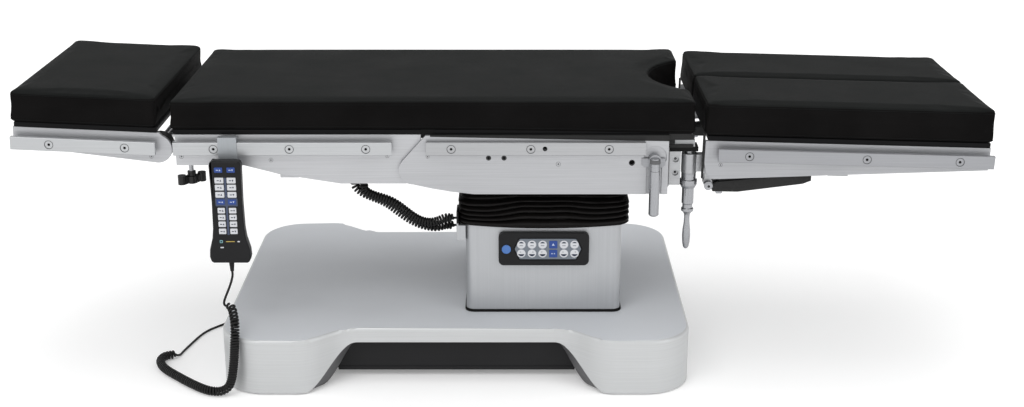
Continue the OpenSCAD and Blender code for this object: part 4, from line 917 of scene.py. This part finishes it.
def part(name, mat, body, sides, pieces):
    """One mesh of flat closed pieces: (x, z) corners and two y's, signed for each of the sides."""
    shape = Shape()
    for s in sides:
        for corners, *faces in pieces:
            shape.loft([[(x, s * y, z) for x, z in corners] for y in faces])
    obj = shape.mesh(name, mat, 35)
    bm = bmesh.new()
    bm.from_mesh(obj.data)
    bmesh.ops.recalc_face_normals(bm, faces=bm.faces[:])
    bm.to_mesh(obj.data)
    bm.free()
    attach(obj, body)


def make_joint_trim():
    """Edge trim under the seat cushion, hinge ends, and the covers of the leg joints."""
    part("seat_edge_trim", "rubber", "seat", (-1, 1), [
        ([(-0.152, 0.5490), (-0.152, 0.5458), (0.3565, 0.5362), (0.3565, 0.5490)], 0.2480, 0.2572),
        (box(0.356, 0.5372, 0.4105, 0.5500), 0.2492, 0.2500),
        # A black block in the gap before the leg mount: painted shade
        (box(0.356, 0.5240, 0.3705, 0.5500), 0.2335, 0.2375),
        (box(0.3565, 0.5160, 0.4105, 0.5232), 0.2335, 0.2375)])
    # The belly panels' lower hem, and the wings of the locks behind their levers
    part("belly_hem", "chassis", "base", (-1, 1), [
        (box(BASE_X - 0.262, 0.0160, BASE_X + 0.262, 0.0240), 0.2832, 0.2790)])
    # The lock wings take the darkest rail steel: painted shade
    part("lock_wings", "rail_deep_shaded", "seat", (-1, 1), [
        ([(0.2990, 0.4985), (0.2990, 0.4840), (0.3040, 0.4790), (0.3440, 0.4790), (0.3490, 0.4840),
          (0.3490, 0.4985)], 0.2592, 0.2555)])
    for s, side in SIDES:
        swivel, strut = "leg_swivel_" + side, "strut_barrel_" + side
        lever_ring = circle_points(0.3260, s * 0.2720, 0.0117)
        collar = Shape().loft([[(x, y, z) for x, y in lever_ring] for z in (0.4918, 0.5000)])
        collar.make("lever_collar_" + side, "return", "lock_lever_" + side)
        part("swivel_web_" + side, "block", swivel, (s,), [
            (box(0.407, 0.4585, 0.441, 0.4840), 0.2245, 0.2060)])
        part("pin_cap_" + side, "turned", swivel, (s,), [
            (circle_points(0.4462, 0.4290, 0.0094), 0.2358, 0.2300),
            (circle_points(0.4462, 0.4290, 0.0066), 0.2366, 0.2340)])
        # Near-black disc: painted shade in the pin's socket
        part("pin_socket_" + side, "dark", swivel, (s,), [
            (circle_points(0.4472, 0.4284, 0.0028, 12), 0.2368, 0.2350)])
        # A black strip at the leg plate's end: painted shadow of the gap there
        part("leg_end_gap_shadow_" + side, "rubber", "leg_" + side, (s,), [
            ([(0.4285, 0.4500), (0.4325, 0.4490), (0.4345, 0.5500), (0.4300, 0.5500)], 0.2464, 0.2385)])
        part("strut_cover_" + side, "rubber", strut, (s,), [
            ([(0.4560, 0.4160), (0.5100, 0.4150), (0.6500, 0.4330), (0.6680, 0.4400), (0.6680, 0.4520),
              (0.6500, 0.4550), (0.4620, 0.4370)], 0.2325, 0.2010)])
        part("strut_stop_" + side, "turned", strut, (s,), [
            ([(0.4640, 0.4175), (0.4640, 0.4100), (0.4660, 0.4085), (0.4760, 0.4085), (0.4780, 0.4100),
              (0.4780, 0.4175)], 0.2250, 0.2110)])
        # The steel roller behind the hub disc takes rubber black: painted shade
        part("head_roller_" + side, "rubber", "head", (s,), [
            (circle_points(-0.7350, 0.5160, 0.0300), 0.2370, 0.2080)])


make_rigid()
make_arch_returns()
make_joint_trim()

# CAD nodes that stay, with their materials
for node, mat in {
    "floor_feet": "rubber", "power_pack": "pump", "outer_mast": "mast", "middle_mast": "mast",
    "inner_mast": "mast", "tilt_cross": "frame", "seat_frame": "frame", "back_frame": "frame",
    "head_prongs": "turned", "strut_rod_near": "turned", "strut_rod_far": "turned",
}.items():
    slots = NODES[node].data.materials
    slots.clear()
    slots.append(M[mat])


# Keys of the panel and of the hand control

KEY_DROPS = (0.018, 0.041, 0.0565, 0.0725, 0.0887, 0.1079, 0.1232, 0.1385, 0.1545)


def rect(cx, cz, w, h, r):
    return rounded_rect(cx - w / 2, cx + w / 2, cz - h / 2, cz + h / 2, r, 5)


def arc_slice(cx, cz, r, a0, a1):
    """A slice of a disc between two angles, closed by its chord."""
    turns = [math.radians(a0 + (a1 - a0) * k / 12) for k in range(13)]
    return [(cx + r * math.cos(a), cz + r * math.sin(a)) for a in turns]


def foil_outline(cx, cz, hw, hh):
    """The foil has a point at the middle of each end, and cut corners."""
    quarter = [(hw - 0.007, 0.013), (hw - 0.007, hh - 0.005), (hw - 0.012, hh)]
    points = []
    for s in (-1, 1):
        points.append((cx + s * hw, cz))
        points += [(cx + s * x, cz + s * z) for x, z in quarter]
        points += [(cx - s * x, cz + s * z) for x, z in reversed(quarter)]
    return points


def make_panel():
    cx, cz, y = 0.101, 0.280, -0.2253
    foil, white, blue, ink, light = [Shape() for _ in range(5)]
    foil.slab(foil_outline(cx, cz, 0.0742, 0.0247), y + 0.0012, y - 0.0002)

    def mark(shape, outline):
        shape.slab(outline, y - 0.0012, y - 0.0016, 0.0001)

    for i in range(6):
        odd = i % 2
        for way in (-1, 1):
            x, z = cx + (i - 2.5) * 0.0234, cz + way * 0.0104
            if i == 3:
                blue.slab(rect(x, z, 0.0182, 0.0176, 0.0016), y, y - 0.0014)
                if way > 0:
                    mark(light, [(x - 0.0032, z - 0.002), (x + 0.0032, z - 0.002), (x, z + 0.0035)])
                else:
                    mark(light, rect(x - 0.0026, z, 0.0026, 0.0026, 0.0006))
                    mark(light, rect(x + 0.0026, z, 0.0026, 0.0026, 0.0006))
                continue
            white.round_key(x, z, y, y - 0.0014, 0.0094, 0.0088)
            if way > 0:
                mark(ink, arc_slice(x, z + 0.0008, 0.0058, 25 + 6 * odd, 155 - 6 * odd))
                mark(ink, rect(x, z - 0.0022, 0.0076, 0.0011, 0.0003))
            else:
                mark(ink, arc_slice(x, z + 0.0012, 0.0072, 200, 340))
                mark(ink, rect(x - 0.002 + 0.004 * odd, z + 0.0038, 0.0030, 0.0011, 0.0003))
    foil.make("panel_foil_face", "foil", "base", "panel_foil")
    white.make("panel_keys", "keywhite", "base")
    blue.make("panel_keys_blue", "keyblue", "base")
    ink.make("panel_marks", "ink", "base")
    light.make("panel_marks_light", "inklight", "base")


def make_handset_keys():
    x0, y, top = -0.582, -0.310, 0.50675
    white, blue, strip, ink, light, amber, teal = [Shape() for _ in range(7)]
    strip.slab(rect(x0, top - 0.099, 0.0044, 0.128, 0.0012), y + 0.0004, y - 0.0004)
    strip.slab(rect(x0, top - 0.0893, 0.0470, 0.0182, 0.0020), y + 0.0004, y - 0.0005)
    for i, drop in enumerate(KEY_DROPS):
        z = top - drop
        out = 0.0132 if i == 0 else 0.0128 if i < 4 else 0.0120
        if i in (0, 4):
            key, mark, size = blue, light, (0.0172, 0.0112)
        else:
            key, mark, size = white, ink, (0.0188, 0.0126) if i < 4 else (0.0154, 0.0122)
        for s in (-1, 1):
            x = x0 + s * out
            key.slab(rect(x, z, *size, 0.0015), y, y - 0.0016, 0.0005)
            arrow = [(x + 0.0012, z + 0.0018 * s), (x + 0.0052, z + 0.0018 * s), (x + 0.0032, z - 0.0024 * s)]
            for outline in (rect(x - 0.0022, z, 0.0046, 0.0018, 0.0004), arrow[::-s]):
                mark.slab(outline, y - 0.0014, y - 0.00175, 0.0001)
    # Signal lamps below the keys
    z = top - 0.178
    for shape, dx, dz, w, h, r in (
            (teal, -0.0165, 0, 0.0064, 0.0064, 0.0008), (amber, 0.0028, 0, 0.0190, 0.0018, 0.0006),
            (white, 0.0205, 0, 0.0050, 0.0026, 0.0008), (white, -0.0155, -0.0135, 0.0072, 0.0026, 0.0008)):
        shape.slab(rect(x0 + dx, z + dz, w, h, r), y + 0.0004, y - 0.0006, 0.0002)
    ink.slab(rect(x0 - 0.0165, z, 0.0034, 0.0034, 0.0006), y, y - 0.0008, 0.0001)
    white.make("handset_keys_white", "keywhite", "hand_control", "handset_keys")
    blue.make("handset_keys_blue", "keyblue", "hand_control")
    strip.make("handset_strip", "strip", "hand_control")
    ink.make("handset_marks", "ink", "hand_control")
    light.make("handset_marks_light", "inklight", "hand_control")
    amber.make("handset_lamp_amber", "lamp", "hand_control")
    teal.make("handset_lamp_teal", "teal", "hand_control")


# Fasteners and seals

RAIL_Y, BOLT_Y, PLATE_Y, SEAT_PLATE_Y, HOLE_Y = -0.27012, -0.2680, -0.24612, -0.25612, -0.2475


def make_fasteners():
    """Parting lines round the rail bolts, small screws in the plates, and near-black discs in the sockets and
    behind the plain holes that paint their shade.
    """
    # Each section has the face of its plates, its bolts, and its screws as (x, z, radius, filled)
    sections = [
        ("seat", SEAT_PLATE_Y, [(-0.107, 0.522), (0.062, 0.522), (0.228, 0.522)],
         [(-0.158, 0.5015, 0.0038, 0), (-0.028, 0.4985, 0.0056, 1), (0.005, 0.4985, 0.0056, 1),
          (0.121, 0.485, 0.0052, 0)]),
        ("back", PLATE_Y, [(-0.611, 0.522), (-0.450, 0.522), (-0.288, 0.522)],
         [(-0.685, 0.4990, 0.0048, 0), (-0.494, 0.491, 0.0045, 0), (-0.245, 0.5005, 0.0045, 0)]),
        ("head", PLATE_Y, [turned_point(x, 0.522, HEAD_HUB, HEAD_LEAN) for x in (-0.959, -0.799)],
         [(-0.749, 0.4990, 0.0042, 0)]),
        ("leg", PLATE_Y, [turned_point(x, 0.508, LEG_HINGE, LEG_LEAN) for x in (0.526, 0.776, 0.974)],
         [(0.469, 0.4800, 0.0042, 0)]),
    ]
    for body, y, bolts, screws in sections:
        groove, dark = Shape(), Shape()
        for x, z in bolts:
            groove.ring(x, z, RAIL_Y, 0.0084, 0.0094)
            # Near-black disc: painted shade in the bolt's socket
            dark.disc(x, z, BOLT_Y, 0.0031, 12)
        # The screws' near-black centres paint the shade in their sockets
        for x, z, r, filled in screws:
            if filled:
                groove.disc(x, z, y, r)
                dark.disc(x, z, y - 0.0001, r * 0.55, 6)
            else:
                groove.ring(x, z, y, r - 0.0006, r)
                dark.disc(x, z, y, r * 0.35, 6)
        if body == "seat":
            # Near-black discs behind the plain holes: painted shade
            dark.disc(0.092, 0.523, HOLE_Y, 0.0058)
            dark.disc(0.278, 0.488, HOLE_Y, 0.0062)
            groove.ring(0.278, 0.488, y, 0.0055, 0.0066)
        if body == "leg":
            for side, pair in (("near", (groove, dark)), ("far", (groove.mirrored(), dark.mirrored()))):
                for shape, mat in zip(pair, ("groove", "dark")):
                    shape.make("leg_fasteners_" + mat + "_" + side, mat, "leg_" + side)
        else:
            for shape, mat in ((groove, "groove"), (dark, "dark")):
                shape.both_sides()
                shape.make(body + "_fasteners_" + mat, mat, body)


def make_seals():
    """The dark gasket at the column's foot, whose near-black also paints the contact shadow there, and the
    soft strip over the gap between the boards.
    """
    profile = [(-0.001, 0.1270), (0.0026, 0.1270), (0.0030, 0.1290), (0.0024, 0.1318),
               (0.0006, 0.1328), (-0.001, 0.1328)]
    loops = []
    for out, z in profile:
        ring = rounded_rect(-0.172, 0.172, -0.215, 0.215, 0.018, 8, out)
        loops.append([(COLUMN_X + x, y, z) for x, y in ring])
    gasket = Shape().loft(loops, first=False, last=False, closed=True)
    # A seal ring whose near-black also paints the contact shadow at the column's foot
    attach(gasket.mesh("column_gasket_and_shadow", "gasket", 50), "base")

    steps, half, top = 12, 0.2488, 0.5598
    loops = []
    for i in range(steps + 1):
        x = -0.1715 + 0.0290 * i / steps
        low = 0.5402 + 0.0022 * math.sin(math.pi * i / steps)
        loops.append([(x, -half, low), (x, half, low), (x, half, top), (x, -half, top)])
    strip = Shape().loft(loops).mesh("board_hinge_strip", "gasket", 50)
    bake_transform(strip)


make_panel()
make_handset_keys()
make_fasteners()
make_seals()


# Floor, lights and background

def make_floor():
    mesh = bpy.data.meshes.new("floor")
    s = 30
    mesh.from_pydata([(-s, -s, 0), (s, -s, 0), (s, s, 0), (-s, s, 0)], [], [(0, 1, 2, 3)])
    floor = new_object("floor", mesh)
    mat = bpy.data.materials.new("floor")
    mat.use_nodes = True
    tree = mat.node_tree
    tree.nodes.clear()
    out = tree.nodes.new("ShaderNodeOutputMaterial")
    diffuse = tree.nodes.new("ShaderNodeBsdfDiffuse")
    diffuse.inputs["Color"].default_value = (0.86, 0.86, 0.86, 1)
    glow = tree.nodes.new("ShaderNodeEmission")
    path = tree.nodes.new("ShaderNodeLightPath")
    seen = combine(tree, "MAXIMUM", path.outputs["Is Camera Ray"], path.outputs["Is Glossy Ray"])
    # The floor glows a little more far from the object, so that it stays white to the horizon
    place = tree.nodes.new("ShaderNodeTexCoord")
    far = tree.nodes.new("ShaderNodeVectorMath")
    far.operation = "LENGTH"
    tree.links.new(place.outputs["Object"], far.inputs[0])
    level = combine(tree, "MULTIPLY", seen, spread(tree, far.outputs["Value"], 0.22, 0.62, 1.0, 4.5))
    tree.links.new(level, glow.inputs["Strength"])
    add = tree.nodes.new("ShaderNodeAddShader")
    tree.links.new(diffuse.outputs["BSDF"], add.inputs[0])
    tree.links.new(glow.outputs["Emission"], add.inputs[1])
    tree.links.new(add.outputs["Shader"], out.inputs["Surface"])
    mesh.materials.append(mat)


def make_background():
    world = bpy.data.worlds.new("studio")
    scene.world = world
    world.use_nodes = True
    tree = world.node_tree
    tree.nodes.clear()
    out = tree.nodes.new("ShaderNodeOutputWorld")
    background = tree.nodes.new("ShaderNodeBackground")
    background.inputs["Color"].default_value = (1, 1, 1, 1)
    path = tree.nodes.new("ShaderNodeLightPath")
    level = spread(tree, path.outputs["Is Camera Ray"], 0.80, 1.0, 0.0, 1.0)
    tree.links.new(level, background.inputs["Strength"])
    tree.links.new(background.outputs["Background"], out.inputs["Surface"])


def area_light(name, at, aim, size, power):
    data = bpy.data.lights.new(name, "AREA")
    data.shape = "RECTANGLE"
    data.size = data.size_y = size
    data.energy = power
    lamp = bpy.data.objects.new(name, data)
    lamp.location = at
    lamp.rotation_euler = (Vector(aim) - Vector(at)).to_track_quat("-Z", "Y").to_euler()
    scene.collection.objects.link(lamp)


make_floor()
make_background()
area_light("key", (-1.6, -2.6, 3.4), (0, 0, 0.4), 2.4, 48)
area_light("fill", (2.6, -2.4, 1.6), (0, 0, 0.4), 2.0, 18)
area_light("top", (0.2, 0.6, 3.2), (0, 0, 0.5), 3.0, 30)
scene.view_settings.view_transform = "Standard"
